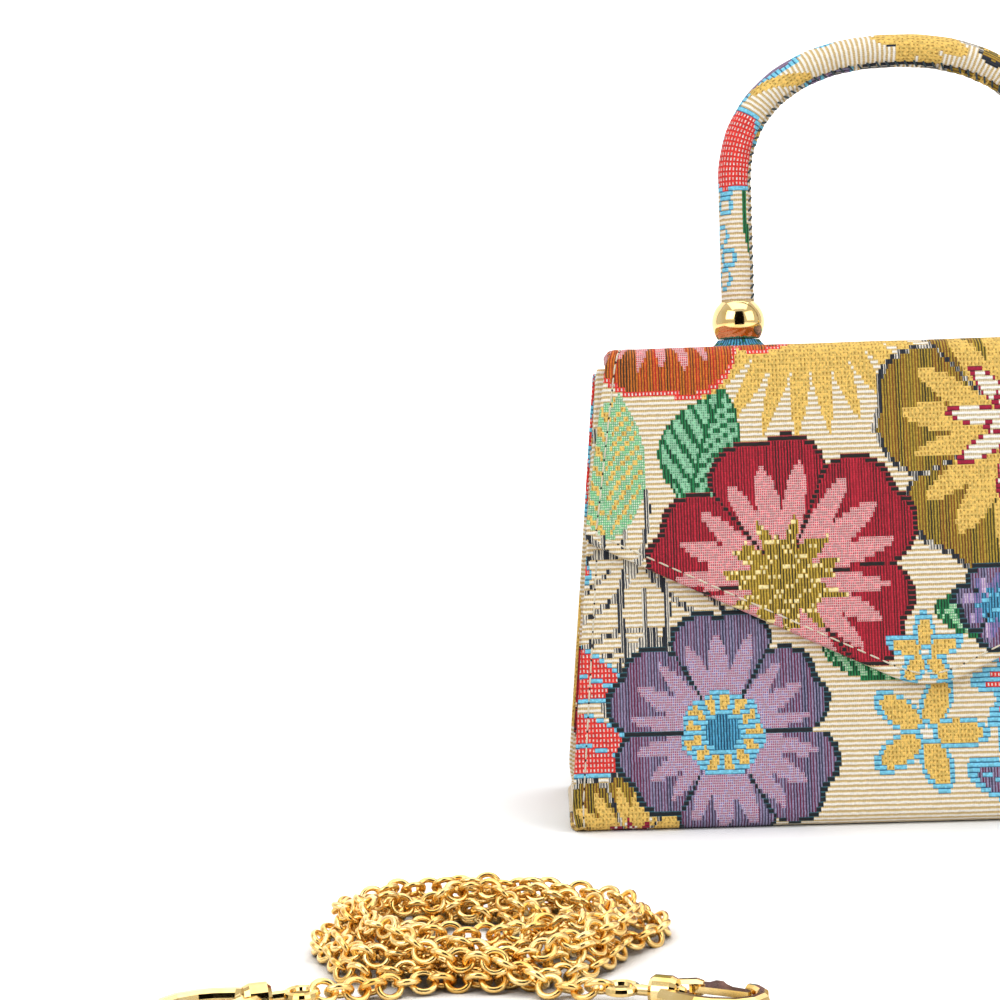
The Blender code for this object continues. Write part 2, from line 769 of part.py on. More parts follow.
def sweep(name, path, radii, sides=12):
    """A tube in the XZ plane along a path; with two radii it is hollow and open at its ends."""
    solid = Solid()
    sleeves = []
    for radius in radii:
        rings = []
        for i, (x, z) in enumerate(path):
            before = Vector(path[max(i - 1, 0)])
            after = Vector(path[min(i + 1, len(path) - 1)])
            along = (after - before).normalized()
            normal = Vector((-along.y, along.x))
            turns = [2 * math.pi * k / sides for k in range(sides)]
            rings.append(
                solid.loop(
                    [
                        (x + radius * math.cos(a) * normal.x, radius * math.sin(a), z + radius * math.cos(a) * normal.y)
                        for a in turns
                    ]
                )
            )
        for low, high in zip(rings, rings[1:]):
            solid.strip(low, high)
        sleeves.append(rings)
    for end in (0, -1):
        if len(sleeves) == 2:
            solid.strip(sleeves[0][end], sleeves[1][end])
        else:
            solid.faces.append(tuple(sleeves[0][end]))
    return solid.mesh(name)


def make_handle():
    """The fabric tube over its cord core, held in two ball ferrules that are screwed through the top."""
    radius = HANDLE_DIAMETER / 2
    inner = radius - FABRIC
    path = handle_path(HANDLE_FOOT)
    place("handle_cover", sweep("handle_cover", path, (radius, inner), 12), "tapestry", smooth=True)
    core = handle_path(HANDLE_FOOT + GAP)
    place("handle_core", sweep("handle_core", core, (inner - GAP,), 10), "cord_core", smooth=True)
    hole, bore = radius + GAP, SCREW_DIAMETER / 2 + GAP
    top, bottom = BALL_TOP_CUT, -BALL_BOTTOM_CUT
    floor = BALL_TOP_CUT - SOCKET_DEPTH
    first = math.asin(bottom / BALL_RADIUS)
    last = math.asin(top / BALL_RADIUS)
    ball = []
    for i in range(9):
        angle = first + (last - first) * i / 8
        ball.append((BALL_RADIUS * math.cos(angle), BALL_RADIUS * math.sin(angle)))
    ball += [(hole, top), (hole, floor), (bore, floor), (bore, bottom)]
    head_z = UNDERSIDE - GAP
    reach = BALL_Z - BALL_BOTTOM_CUT + SCREW_GRIP - UNDERSIDE
    for side, end in ((-1, "left"), (1, "right")):
        x = side * HANDLE_SPAN / 2
        name = f"ferrule_{end}"
        place(name, lathe(name, ball, 24), "pale_gold", (x, 0, BALL_Z), smooth=True)
        name = f"handle_washer_{end}"
        washer = make_ring_mesh(name, bore, HANDLE_WASHER_RADIUS, 0, WASHER_THICKNESS)
        place(name, washer, "steel", (x, 0, UNDERSIDE + LINING - WASHER_THICKNESS))
        name = f"handle_screw_{end}"
        shank, head = SCREW_DIAMETER / 2, SCREW_HEAD_RADIUS
        screw = [
            (0, -SCREW_HEAD_HEIGHT),
            (head * 0.7, -SCREW_HEAD_HEIGHT),
            (head, -SCREW_HEAD_HEIGHT / 2),
            (head, 0),
            (shank, 0),
            (shank, reach),
            (0, reach),
        ]
        place(name, lathe(name, screw, 20), "steel", (x, 0, head_z), smooth=True)


# Strap rings.


def ring_axis_x():
    """Distance of a strap ring's bar from the bag's middle."""
    return FOLD_TOP_X + FABRIC + GAP + TAB_FABRIC + GAP + RING_WIRE / 2


def make_strap_ring(side, end):
    """A D-shaped wire ring hanging from a folded fabric tab in the gusset's fold."""
    half = RING_INSIDE_WIDTH / 2 + RING_WIRE / 2
    drop = RING_INSIDE_HEIGHT + RING_WIRE
    corner = RING_WIRE
    points = [(-half + corner, 0.0), (half - corner, 0.0), (half, -corner * 0.6)]
    for i in range(0, 9):
        angle = -math.pi * i / 8
        points.append((half * math.cos(angle), -drop + half * 0.8 + half * 0.8 * math.sin(angle)))
    points.append((-half, -corner * 0.6))
    curve = bpy.data.curves.new(f"d_ring_{end}", "CURVE")
    curve.dimensions = "3D"
    curve.bevel_depth = RING_WIRE / 2
    curve.bevel_resolution = 1
    spline = curve.splines.new("POLY")
    spline.points.add(len(points) - 1)
    for point, (y, z) in zip(spline.points, points):
        point.co = (0, y, z, 1)
    spline.use_cyclic_u = True
    x = side * ring_axis_x()
    place(f"d_ring_{end}", curve, "pale_gold", (x, 0, RING_HEIGHT))
    hole = RING_WIRE / 2 + GAP
    outer = hole + TAB_FABRIC
    profile = tab_profile(outer)
    sections = [[(side * px, y, pz) for px, pz in profile] for y in (-TAB_WIDTH / 2, TAB_WIDTH / 2)]
    tab = place(f"ring_tab_{end}", loft(f"ring_tab_{end}", sections), "tapestry_side", (x, 0, RING_HEIGHT))
    cutter = cylinder(f"bar_hole_{end}", hole, -TAB_WIDTH, TAB_WIDTH, axis=(0, 1, 0), sides=20)
    combine(tab, helper(f"bar_hole_{end}", cutter, (x, 0, RING_HEIGHT)), "DIFFERENCE")


def tab_profile(outer):
    """The tab's outline in (outwards, up), a loop round the bar with its two ends laid on the gusset."""
    loop = []
    for i in range(11):
        angle = math.pi * (1.0 + i / 10)
        loop.append((outer * math.cos(angle), outer * math.sin(angle)))
    ends = 2 * TAB_FABRIC
    return loop + [(outer, outer * 0.3), (-outer + ends, outer * 1.6), (-outer + ends, TAB_LENGTH), (-outer, TAB_LENGTH)]


# Chain strap.


def heap_height(r):
    """Height of the heap's body at a share of its half width."""
    return (HEAP_HEIGHT - LINK_WIRE) * max(0.0, 1 - r**2.6)


def heap_wave(angle):
    """How far the heap's outline swells or shrinks in a direction."""
    return 1 + 0.03 * math.sin(3 * angle + 0.8) + 0.02 * math.sin(5 * angle)


def link_mesh(solid, centre, along, tilt):
    """Adds one round link of the chain, lying along a direction and tilted about it."""
    around, section = 8, 3
    side = along.cross(Vector((0, 0, 1))).normalized()
    side = Matrix.Rotation(tilt, 3, along) @ side
    up = along.cross(side)
    radius, wire = (LINK_WIDTH - LINK_WIRE) / 2, LINK_WIRE / 2
    rings = []
    for i in range(around):
        a = 2 * math.pi * i / around
        out = along * math.cos(a) + side * math.sin(a)
        ring = []
        for k in range(section):
            b = 2 * math.pi * (k + 0.5) / section
            ring.append(centre + out * (radius + wire * math.cos(b)) + up * wire * math.sin(b))
        rings.append(solid.loop(ring))
    for low, high in zip(rings, rings[1:] + rings[:1]):
        solid.strip(low, high)


def make_chain_heap():
    """The strap's chain in a loose heap: its body in one solid, with the links that lie on the outside."""
    solid = Solid()
    sides = 28
    shares = (0.12, 0.35, 0.6, 0.8, 0.93, 1.0)
    rings = []
    for share in shares:
        ring = []
        for i in range(sides):
            a = 2 * math.pi * i / sides
            wave = heap_wave(a)
            x = HEAP_HALF_WIDTH * share * wave * math.cos(a)
            y = HEAP_HALF_DEPTH * share * wave * math.sin(a)
            z = LINK_WIRE + heap_height(share) * (1 + 0.05 * math.sin(4 * a + 6 * share))
            ring.append((x, y, z))
        rings.append(solid.loop(ring))
    for low, high in zip(rings, rings[1:]):
        solid.strip(low, high)
    foot = solid.loop([(p.x, p.y, 0.0) for p in (solid.points[n] for n in rings[-1])])
    solid.strip(rings[-1], foot)
    solid.faces.append(tuple(rings[0]))
    solid.faces.append(tuple(foot[::-1]))
    origin = (HEAP_CENTRE[0], HEAP_CENTRE[1], 0)
    item = place("chain_heap", solid.mesh("chain_heap"), "chain_gold", origin)
    links = Solid()
    for i in range(LINK_COUNT):
        t = (i + 0.5) / LINK_COUNT
        share = 0.94 * math.sqrt(1 - t * 0.97)
        a = 2 * math.pi * HEAP_TURNS * (1 - math.sqrt(1 - t * 0.97)) * 1.55 + 0.4 * math.sin(7.0 * t)
        wave = heap_wave(a)
        across_heap, along_heap = HEAP_HALF_WIDTH * wave, HEAP_HALF_DEPTH * wave
        centre = Vector((across_heap * share * math.cos(a), along_heap * share * math.sin(a), 0))
        centre.z = max(heap_height(share) + LINK_WIRE * 0.9, LINK_WIDTH * 0.42)
        along = Vector((-HEAP_HALF_WIDTH * math.sin(a), HEAP_HALF_DEPTH * math.cos(a), 0)).normalized()
        tilt = (0.75 if i % 2 else -0.7) + 0.25 * math.sin(3.1 * i)
        link_mesh(links, centre, along, tilt)
    joined = combine(item, helper("heap_links", links.mesh("heap_links"), origin), "UNION")
    joined.use_self = True


def clasp_matrix(clasp):
    """From a clasp's own axes, with X along it, to where it lies on the ground."""
    x, y, angle = clasp
    return Matrix.Translation((x, y, BARREL_RADIUS + GAP / 3)) @ Matrix.Rotation(angle, 4, "Z")


def tube_mesh(name, path, radii, sides=10):
    """A closed bar in the XY plane through (x, y) points, with a radius at each."""
    solid = Solid()
    rings = []
    for i, (x, y) in enumerate(path):
        before = Vector(path[max(i - 1, 0)])
        after = Vector(path[min(i + 1, len(path) - 1)])
        along = (after - before).normalized()
        normal = Vector((-along.y, along.x))
        ring = []
        for k in range(sides):
            a = 2 * math.pi * k / sides
            ring.append((x + radii[i] * math.cos(a) * normal.x, y + radii[i] * math.cos(a) * normal.y, radii[i] * math.sin(a)))
        rings.append(solid.loop(ring))
    for low, high in zip(rings, rings[1:]):
        solid.strip(low, high)
    solid.faces.append(tuple(rings[0]))
    solid.faces.append(tuple(rings[-1][::-1]))
    return solid.mesh(name)


PIVOT = (BARREL_LENGTH + 2.6 * MM, HOOK_HALF_WIDTH - 1.0 * MM)


def hook_path():
    """The hook's centre line, from the barrel round the closed side and the crown to the nose."""
    side, crown = HOOK_HALF_WIDTH, HOOK_LENGTH - HOOK_WIRE / 2
    start = BARREL_LENGTH * 0.55
    return [
        (start, -side * 0.42),
        (start + side * 0.55, -side * 0.7),
        (start + side * 1.3, -side * 0.95),
        (crown * 0.62, -side),
        (crown * 0.82, -side * 0.86),
        (crown * 0.95, -side * 0.5),
        (crown, 0.0),
        (crown * 0.97, side * 0.5),
        (crown * 0.9, side * 0.84),
        (crown * 0.82, side * 0.98),
    ]


def make_clasp_bodies():
    """The hooks: barrel, hook and forked lug in one casting, with the lever's pin."""
    wire = HOOK_WIRE / 2
    barrel = lathe(
        "clasp_barrel",
        [
            (0, 0),
            (BARREL_RADIUS * 0.8, 0),
            (BARREL_RADIUS, BARREL_LENGTH * 0.15),
            (BARREL_RADIUS, BARREL_LENGTH * 0.8),
            (BARREL_RADIUS * 0.85, BARREL_LENGTH),
            (0, BARREL_LENGTH),
        ],
        20,
    )
    barrel.transform(Matrix.Rotation(math.pi / 2, 4, "Y"))
    body = helper("clasp_form", barrel)
    path = hook_path()
    thick = [wire] * (len(path) - 3) + [wire * 0.95, wire * 0.9, wire * 0.8]
    combine(body, helper("clasp_hook", tube_mesh("clasp_hook", path, thick)), "UNION")
    lug_path = [(BARREL_LENGTH * 0.5, HOOK_HALF_WIDTH * 0.3), (BARREL_LENGTH * 0.9, PIVOT[1] * 0.8), PIVOT]
    lug = tube_mesh("clasp_lug", lug_path + [(PIVOT[0] + LEVER_PIN * 0.9, PIVOT[1])], [wire, wire * 1.1, wire * 1.15, wire * 0.9])
    combine(body, helper("clasp_lug", lug), "UNION")
    bore = cylinder("clasp_bore", SWIVEL_STUD_RADIUS + GAP, -BARREL_LENGTH, BARREL_LENGTH * 2, axis=(1, 0, 0), sides=16)
    combine(body, helper("clasp_bore", bore), "DIFFERENCE")
    room = SWIVEL_HEAD_RADIUS + GAP
    room_end = BARREL_LENGTH + SWIVEL_HEAD_LENGTH + 3 * GAP
    seat = cylinder("clasp_seat", room, BARREL_LENGTH, room_end + GAP, axis=(1, 0, 0), sides=16)
    combine(body, helper("clasp_seat", seat), "DIFFERENCE")
    slot_half = LEVER_THICKNESS / 2 + GAP
    slot_low = (PIVOT[0] - LEVER_WIDTH, PIVOT[1] - HOOK_WIRE * 1.5, -slot_half)
    slot_high = (PIVOT[0] + HOOK_WIRE * 2, PIVOT[1] + HOOK_WIRE * 1.5, slot_half)
    combine(body, helper("lever_slot", box_mesh("lever_slot", slot_low, slot_high)), "DIFFERENCE")
    pin = cylinder("lever_pin", LEVER_PIN / 2, -HOOK_WIRE * 0.45, HOOK_WIRE * 0.45, sides=14)
    combine(body, helper("lever_pin", pin, (PIVOT[0], PIVOT[1], 0)), "UNION")
    shape = baked(body)
    for clasp, end in ((CLASP_A, "a"), (CLASP_B, "b")):
        name = f"clasp_body_{end}"
        item = place(name, shape.copy(), "pale_gold", smooth=True)
        item.matrix_world = clasp_matrix(clasp)


def make_levers():
    """The thumb levers that close the hooks, each turning on its pin."""
    half = LEVER_WIDTH / 2
    tip = hook_path()[-1]
    end_x = tip[0] - PIVOT[0] + HOOK_WIRE * 0.25
    end_y = tip[1] - HOOK_WIRE * 0.4 - GAP - half * 0.8 - PIVOT[1]
    outline = []
    for i in range(9):
        angle = math.pi * (0.5 + i / 8)
        outline.append((half * math.cos(angle), half * math.sin(angle)))
    outline += [
        (end_x * 0.5, end_y * 0.5 - half * 0.7),
        (end_x, end_y - half * 0.55),
        (end_x + half * 0.25, end_y),
        (end_x, end_y + half * 0.55),
        (end_x * 0.66, end_y * 0.66 + half * 0.7),
        (end_x * 0.52, half * 0.75),
        (end_x * 0.42, half * 1.75),
        (end_x * 0.28, half * 1.9),
        (end_x * 0.2, half * 1.0),
    ]
    thick = LEVER_THICKNESS / 2
    plate = loft("lever_form", [[(x, y, z) for x, y in outline] for z in (-thick, thick)])
    form = helper("lever_form", plate)
    hole = cylinder("lever_hole", LEVER_PIN / 2 + GAP / 2, -thick * 3, thick * 3, sides=14)
    combine(form, helper("lever_hole", hole), "DIFFERENCE")
    shape = baked(form)
    for clasp, end in ((CLASP_A, "a"), (CLASP_B, "b")):
        item = place(f"clasp_gate_{end}", shape.copy(), "pale_gold")
        item.matrix_world = clasp_matrix(clasp) @ Matrix.Translation((PIVOT[0], PIVOT[1], 0))


def make_swivels():
    """The eyes that hold the chain's last links, each with its stud headed over inside the hook."""
    solid = Solid()
    around, section = 20, 8
    wire = EYE_WIRE / 2
    rings = []
    for i in range(around):
        a = 2 * math.pi * i / around
        ring = []
        for k in range(section):
            b = 2 * math.pi * k / section
            r = EYE_RADIUS + wire * math.cos(b)
            ring.append((-EYE_REACH + r * math.cos(a), r * math.sin(a), wire * math.sin(b)))
        rings.append(solid.loop(ring))
    for low, high in zip(rings, rings[1:] + rings[:1]):
        solid.strip(low, high)
    form = helper("eye_form", solid.mesh("eye_form"))
    head_start = BARREL_LENGTH + 2 * GAP
    start = -EYE_REACH + EYE_RADIUS - wire * 0.2
    stud = lathe(
        "swivel_stud",
        [
            (0, start),
            (SWIVEL_STUD_RADIUS, start),
            (SWIVEL_STUD_RADIUS, head_start),
            (SWIVEL_HEAD_RADIUS, head_start),
            (SWIVEL_HEAD_RADIUS * 0.7, head_start + SWIVEL_HEAD_LENGTH),
            (0, head_start + SWIVEL_HEAD_LENGTH),
        ],
        16,
    )
    stud.transform(Matrix.Rotation(math.pi / 2, 4, "Y"))
    combine(form, helper("swivel_stud", stud), "UNION")
    shape = baked(form)
    for clasp, end in ((CLASP_A, "a"), (CLASP_B, "b")):
        item = place(f"clasp_swivel_{end}", shape.copy(), "pale_gold", smooth=True)
        item.matrix_world = clasp_matrix(clasp)


def make_chain_tails():
    """The last links from the heap to each eye, as one bar a side."""
    radius = CHAIN_THICKNESS / 2
    for clasp, end in ((CLASP_A, "a"), (CLASP_B, "b")):
        behind = -EYE_REACH - EYE_RADIUS - EYE_WIRE / 2 - GAP
        eye = clasp_matrix(clasp) @ Vector((behind, 0, 0))
        lead = clasp_matrix(clasp) @ Vector((behind - TAIL_LEAD, 0, 0))
        centre = Vector((HEAP_CENTRE[0], HEAP_CENTRE[1], eye.z))
        out = lead - centre
        share = math.hypot(out.x / HEAP_HALF_WIDTH, out.y / HEAP_HALF_DEPTH)
        bearing = math.atan2(out.y / HEAP_HALF_DEPTH, out.x / HEAP_HALF_WIDTH)
        edge = out / share * heap_wave(bearing)
        start = centre + edge + out.normalized() * GAP
        path = [start, start.lerp(lead, 0.6), lead.lerp(eye, 0.25), lead.lerp(eye, 0.6), eye]
        curve = bpy.data.curves.new(f"chain_tail_{end}", "CURVE")
        curve.dimensions = "3D"
        curve.bevel_depth = radius
        curve.bevel_resolution = 2
        curve.use_fill_caps = True
        spline = curve.splines.new("POLY")
        spline.points.add(len(path) - 1)
        for at, point in zip(path, spline.points):
            point.co = (at.x, at.y, radius + GAP / 3, 1)
        place(f"chain_tail_{end}", curve, "chain_gold")


make_body_wrap()
make_gusset(-1, "left_gusset")
make_gusset(1, "right_gusset")
make_lining()
make_boards()
make_snap()
make_flap_cover()
make_flap_lining()
make_flap_boards()
make_handle()
make_strap_ring(-1, "left")
make_strap_ring(1, "right")
make_chain_heap()
make_swivels()
make_clasp_bodies()
make_levers()
make_chain_tails()
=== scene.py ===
"""A structured mini bag in floral tapestry, with a pointed flap and a top handle on ball ferrules.

Its chain strap lies unclipped beside it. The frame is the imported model's: metres, +Z up, X across the bag, the front facing -Y, the underside on z = 0.
Sizes in the classes are in millimetres, and meshes are scaled to metres as they are made.
"""

import logging
import math
from dataclasses import dataclass, field
from enum import Enum
from typing import Callable, Sequence

import bmesh  # noqa: E402
import bpy  # noqa: E402
import numpy as np  # noqa: E402
from mathutils import Matrix, Vector  # noqa: E402


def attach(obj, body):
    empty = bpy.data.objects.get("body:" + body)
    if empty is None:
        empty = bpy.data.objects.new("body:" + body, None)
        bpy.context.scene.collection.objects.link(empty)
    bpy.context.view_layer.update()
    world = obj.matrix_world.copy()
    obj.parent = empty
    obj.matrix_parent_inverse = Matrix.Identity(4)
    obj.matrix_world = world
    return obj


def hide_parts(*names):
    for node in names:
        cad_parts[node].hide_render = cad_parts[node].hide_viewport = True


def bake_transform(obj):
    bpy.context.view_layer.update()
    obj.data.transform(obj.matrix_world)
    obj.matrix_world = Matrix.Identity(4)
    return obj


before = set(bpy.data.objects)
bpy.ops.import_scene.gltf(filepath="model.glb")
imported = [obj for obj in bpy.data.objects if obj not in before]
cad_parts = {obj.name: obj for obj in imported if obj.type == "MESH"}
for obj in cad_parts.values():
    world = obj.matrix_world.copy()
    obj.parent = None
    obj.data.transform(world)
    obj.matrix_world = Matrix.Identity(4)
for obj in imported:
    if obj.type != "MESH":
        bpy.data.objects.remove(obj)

MM = 0.001
LOG = logging.getLogger("tapestry_bag")

Colour = tuple[float, float, float, float]
Placer = Callable[[np.ndarray, np.ndarray], tuple[np.ndarray, np.ndarray, np.ndarray]]


# ---------------------------------------------------------------- small tools


def linear(code: str) -> Colour:
    """Turns an sRGB hex code into a linear colour.

    Args:
        code: six hex digits.

    Returns:
        Red, green, blue and alpha, in linear light.
    """
    values = [int(code[i : i + 2], 16) / 255 for i in (0, 2, 4)]
    r, g, b = (v / 12.92 if v <= 0.04045 else ((v + 0.055) / 1.055) ** 2.4 for v in values)
    return (r, g, b, 1.0)


def wire(tree: bpy.types.NodeTree, kind: str, inputs: dict | None = None, output: int | str = 0, **settings: object) -> bpy.types.NodeSocket | None:
    """Adds one shader node with its settings and links.

    Args:
        tree: the material's or the world's node tree.
        kind: the node's type without its ShaderNode prefix.
        inputs: for each input's name or number, a value to set or a socket to link from.
        output: the output wanted, by name or number.
        settings: properties of the node.

    Returns:
        The wanted output socket, or None for an output node.
    """
    made = tree.nodes.new("ShaderNode" + kind)
    for key, value in settings.items():
        setattr(made, key, value)
    for key, value in (inputs or {}).items():
        if isinstance(value, bpy.types.NodeSocket):
            tree.links.new(value, made.inputs[key])
        else:
            made.inputs[key].default_value = value
    return made.outputs[output] if len(made.outputs) else None


def blank_material(name: str) -> tuple[bpy.types.Material, bpy.types.NodeTree]:
    """A new material with an empty node tree, and that tree."""
    made = bpy.data.materials.new(name)
    made.use_nodes = True
    made.node_tree.nodes.clear()
    return made, made.node_tree


def finish_surface(tree: bpy.types.NodeTree, shader: bpy.types.NodeSocket) -> None:
    """Links a shader to a new material output."""
    wire(tree, "OutputMaterial", {"Surface": shader})


def new_piece(name: str, points: np.ndarray, faces: Sequence[Sequence[int]], look: bpy.types.Material, body: str) -> bpy.types.Object:
    """Makes a smooth object from points in millimetres and lets it ride on a body.

    Args:
        name: the piece's name.
        points: one row of x, y, z for each point.
        faces: the point numbers of each face.
        look: the piece's material.
        body: the body that it moves with, or an empty string for a piece that is placed later.

    Returns:
        The new object.
    """
    data = bpy.data.meshes.new(name)
    data.from_pydata((np.asarray(points, float) * MM).tolist(), [], [tuple(map(int, f)) for f in faces])
    data.validate()
    data.polygons.foreach_set("use_smooth", [True] * len(data.polygons))
    data.materials.append(look)
    made = bpy.data.objects.new(name, data)
    bpy.context.scene.collection.objects.link(made)
    if body:
        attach(made, body)
    LOG.info("%s: %d faces, %s", name, len(data.polygons), look.name)
    return made


def turned_out(item: bpy.types.Object, angle: float = 35.0) -> bpy.types.Object:
    """Turns a closed piece's faces outwards and keeps edges sharper than an angle crisp."""
    work = bmesh.new()
    work.from_mesh(item.data)
    bmesh.ops.recalc_face_normals(work, faces=work.faces)
    work.to_mesh(item.data)
    work.free()
    item.data.set_sharp_from_angle(angle=math.radians(angle))
    return item


def run_along(line: np.ndarray) -> np.ndarray:
    """Distance of each point of a line from its first, measured along it."""
    return np.concatenate([[0], np.cumsum(np.linalg.norm(np.diff(line, axis=0), axis=1))])


def places_at(marks: np.ndarray, run: np.ndarray, line: np.ndarray) -> np.ndarray:
    """Points of a line at some distances along it, run being the distance of each of its own points."""
    return np.stack([np.interp(marks, run, line[:, k]) for k in range(line.shape[1])], 1)


def units(rows: np.ndarray) -> np.ndarray:
    """Vectors of length one in the directions of some rows."""
    return rows / np.linalg.norm(rows, axis=1)[:, None]


def even_line(points: np.ndarray, step: float) -> np.ndarray:
    """The same line with its points about a step apart."""
    run = run_along(points)
    return places_at(np.linspace(0, run[-1], max(2, int(round(run[-1] / step)) + 1)), run, points)


def quads(
    rows: int, wide: int, round_rows: bool = False, round_wide: bool = False, flipped: bool = False
) -> list[tuple[int, ...]]:
    """The faces of a grid of points.

    Args:
        rows: number of rows.
        wide: number of points in a row.
        round_rows: whether the last row joins the first.
        round_wide: whether each row's last point joins its first.
        flipped: whether the faces look the other way.

    Returns:
        The point numbers of each face.
    """
    faces = []
    for r in range(rows if round_rows else rows - 1):
        a, b = r * wide, ((r + 1) % rows) * wide
        for k in range(wide if round_wide else wide - 1):
            n = (k + 1) % wide
            faces.append((a + k, b + k, b + n, a + n) if flipped else (a + k, a + n, b + n, b + k))
    return faces


class Form:
    """Points and faces of a closed form, gathered piece by piece, in millimetres."""

    def __init__(self) -> None:
        """Starts empty."""
        self.points: list[np.ndarray] = []
        self.faces: list[tuple[int, ...]] = []

    def add(self, points: np.ndarray, faces: Sequence[Sequence[int]]) -> None:
        """Adds points, and faces numbered from the first of them."""
        start = sum(len(p) for p in self.points)
        self.points.append(np.asarray(points, float))
        self.faces += [tuple(int(i) + start for i in f) for f in faces]

    def tube(self, path: np.ndarray, radii: np.ndarray | float, sides: int = 16, closed: bool = False, up: Sequence[float] = (0, 0, 1)) -> None:
        """Adds a round bar along a path, with domed ends where it has ends.

        Args:
            path: its centre line.
            radii: its radius, or one for each point of the path.
            sides: number of sides.
            closed: whether the path's last point joins its first.
            up: a direction that the path is never parallel to.
        """
        path = np.asarray(path, float)
        radii = np.broadcast_to(np.asarray(radii, float), (len(path),)).copy()
        if not closed:
            first, last = path[0] - path[1], path[-1] - path[-2]
            first, last = first / np.linalg.norm(first), last / np.linalg.norm(last)
            dome = np.radians([75, 45, 20])
            steps, thin = np.sin(dome), np.cos(dome)
            path = np.concatenate([path[0] + np.outer(steps, first * radii[0]), path, path[-1] + np.outer(steps[::-1], last * radii[-1])])
            radii = np.concatenate([thin * radii[0], radii, thin[::-1] * radii[-1]])
        along = units(np.roll(path, -1, 0) - np.roll(path, 1, 0) if closed else np.gradient(path, axis=0))
        side = units(np.cross(along, np.asarray(up, float)))
        top = np.cross(side, along)
        turn = 2 * math.pi * np.arange(sides) / sides
        rings = path[:, None] + radii[:, None, None] * (np.cos(turn)[None, :, None] * side[:, None] + np.sin(turn)[None, :, None] * top[:, None])
        rows = len(path)
        faces = quads(rows, sides, closed, True)
        if not closed:
            faces += [tuple(range(sides))[::-1], tuple(range((rows - 1) * sides, rows * sides))]
        self.add(rings.reshape(-1, 3), faces)

    def lathe(self, profile: Sequence[tuple[float, float]], sides: int = 64) -> None:
        """Adds a body turned about Z from (radius, height) points that go round its section."""
        turn = 2 * math.pi * np.arange(sides) / sides
        rings = [np.stack([r * np.cos(turn), r * np.sin(turn), np.full(sides, z)], 1) for r, z in profile]
        closed = profile[0][0] > 1e-6 and profile[-1][0] > 1e-6
        self.add(np.concatenate(rings), quads(len(rings), sides, closed, True))

    def moved(self, matrix: Matrix) -> "Form":
        """This form with a matrix applied, whose lengths are in millimetres."""
        turn = np.array(matrix)
        self.points = [p @ turn[:3, :3].T + turn[:3, 3] for p in self.points]
        return self

    def piece(self, name: str, look: bpy.types.Material, body: str, angle: float = 35.0) -> bpy.types.Object:
        """Makes the piece, with its faces turned outwards."""
        return turned_out(new_piece(name, np.concatenate(self.points), self.faces, look, body), angle)


def rounded_profile(points: Sequence[tuple[float, float]], radius: float, steps: int = 4) -> list[tuple[float, float]]:
    """Rounds the inner corners of an open line of (x, y) points."""
    line = [np.array(p, float) for p in points]
    made = [tuple(line[0])]
    for before, corner, after in zip(line, line[1:], line[2:]):
        a, b = before - corner, after - corner
        la, lb = np.linalg.norm(a), np.linalg.norm(b)
        cut = min(radius, la * 0.45, lb * 0.45)
        start, end = corner + a / la * cut, corner + b / lb * cut
        for i in range(steps + 1):
            t = i / steps
            made.append(tuple((1 - t) ** 2 * start + 2 * t * (1 - t) * corner + t * t * end))
    made.append(tuple(line[-1]))
    return made


def smooth_line(points: np.ndarray, step: float) -> np.ndarray:
    """A smooth line through the given points, with points about a step apart along it."""
    points = np.asarray(points, float)
    ends = np.concatenate([[2 * points[0] - points[1]], points, [2 * points[-1] - points[-2]]])
    fine = []
    for i in range(len(points) - 1):
        p0, p1, p2, p3 = ends[i : i + 4]
        t = np.linspace(0, 1, 16, endpoint=False)[:, None]
        fine.append(0.5 * (2 * p1 + (p2 - p0) * t + (2 * p0 - 5 * p1 + 4 * p2 - p3) * t**2 + (3 * p1 - p0 - 3 * p2 + p3) * t**3))
    fine = np.concatenate(fine + [points[-1:]])
    return even_line(fine, step)


# ---------------------------------------------------------------- finishes


@dataclass(frozen=True)
class PlatedMetal:
    """Zinc casting or wire, polished and electroplated: a clean mirror with hairline scratches and a dulled grain."""

    name: str
    colour: str
    deep: str
    roughness: float = 0.09
    scratch_mm: float = 0.35

    def material(self) -> bpy.types.Material:
        """Makes the metal; its roughness and colour drift a little, as plating does."""
        made, tree = blank_material(self.name)
        place = wire(tree, "TexCoord", output="Object")
        drift = wire(tree, "TexNoise", {"Vector": place, "Scale": 140.0, "Detail": 3.0})
        hair = wire(tree, "TexNoise", {"Vector": place, "Scale": 1 / (self.scratch_mm * MM), "Detail": 4.0, "Roughness": 0.6})
        tint = wire(tree, "ValToRGB", {0: drift})
        ramp = tree.nodes[-1].color_ramp
        ramp.elements[0].position, ramp.elements[0].color = 0.32, linear(self.deep)
        ramp.elements[1].position, ramp.elements[1].color = 0.62, linear(self.colour)
        rough = wire(tree, "MapRange", {0: hair, 1: 0.3, 2: 0.75, 3: self.roughness * 0.8, 4: self.roughness * 1.7})
        bump = wire(tree, "Bump", {"Strength": 0.05, "Distance": 0.02 * MM, "Height": hair})
        shader = wire(tree, "BsdfPrincipled", {"Base Color": tint, "Metallic": 1.0, "Roughness": rough, "Normal": bump})
        finish_surface(tree, shader)
        return made


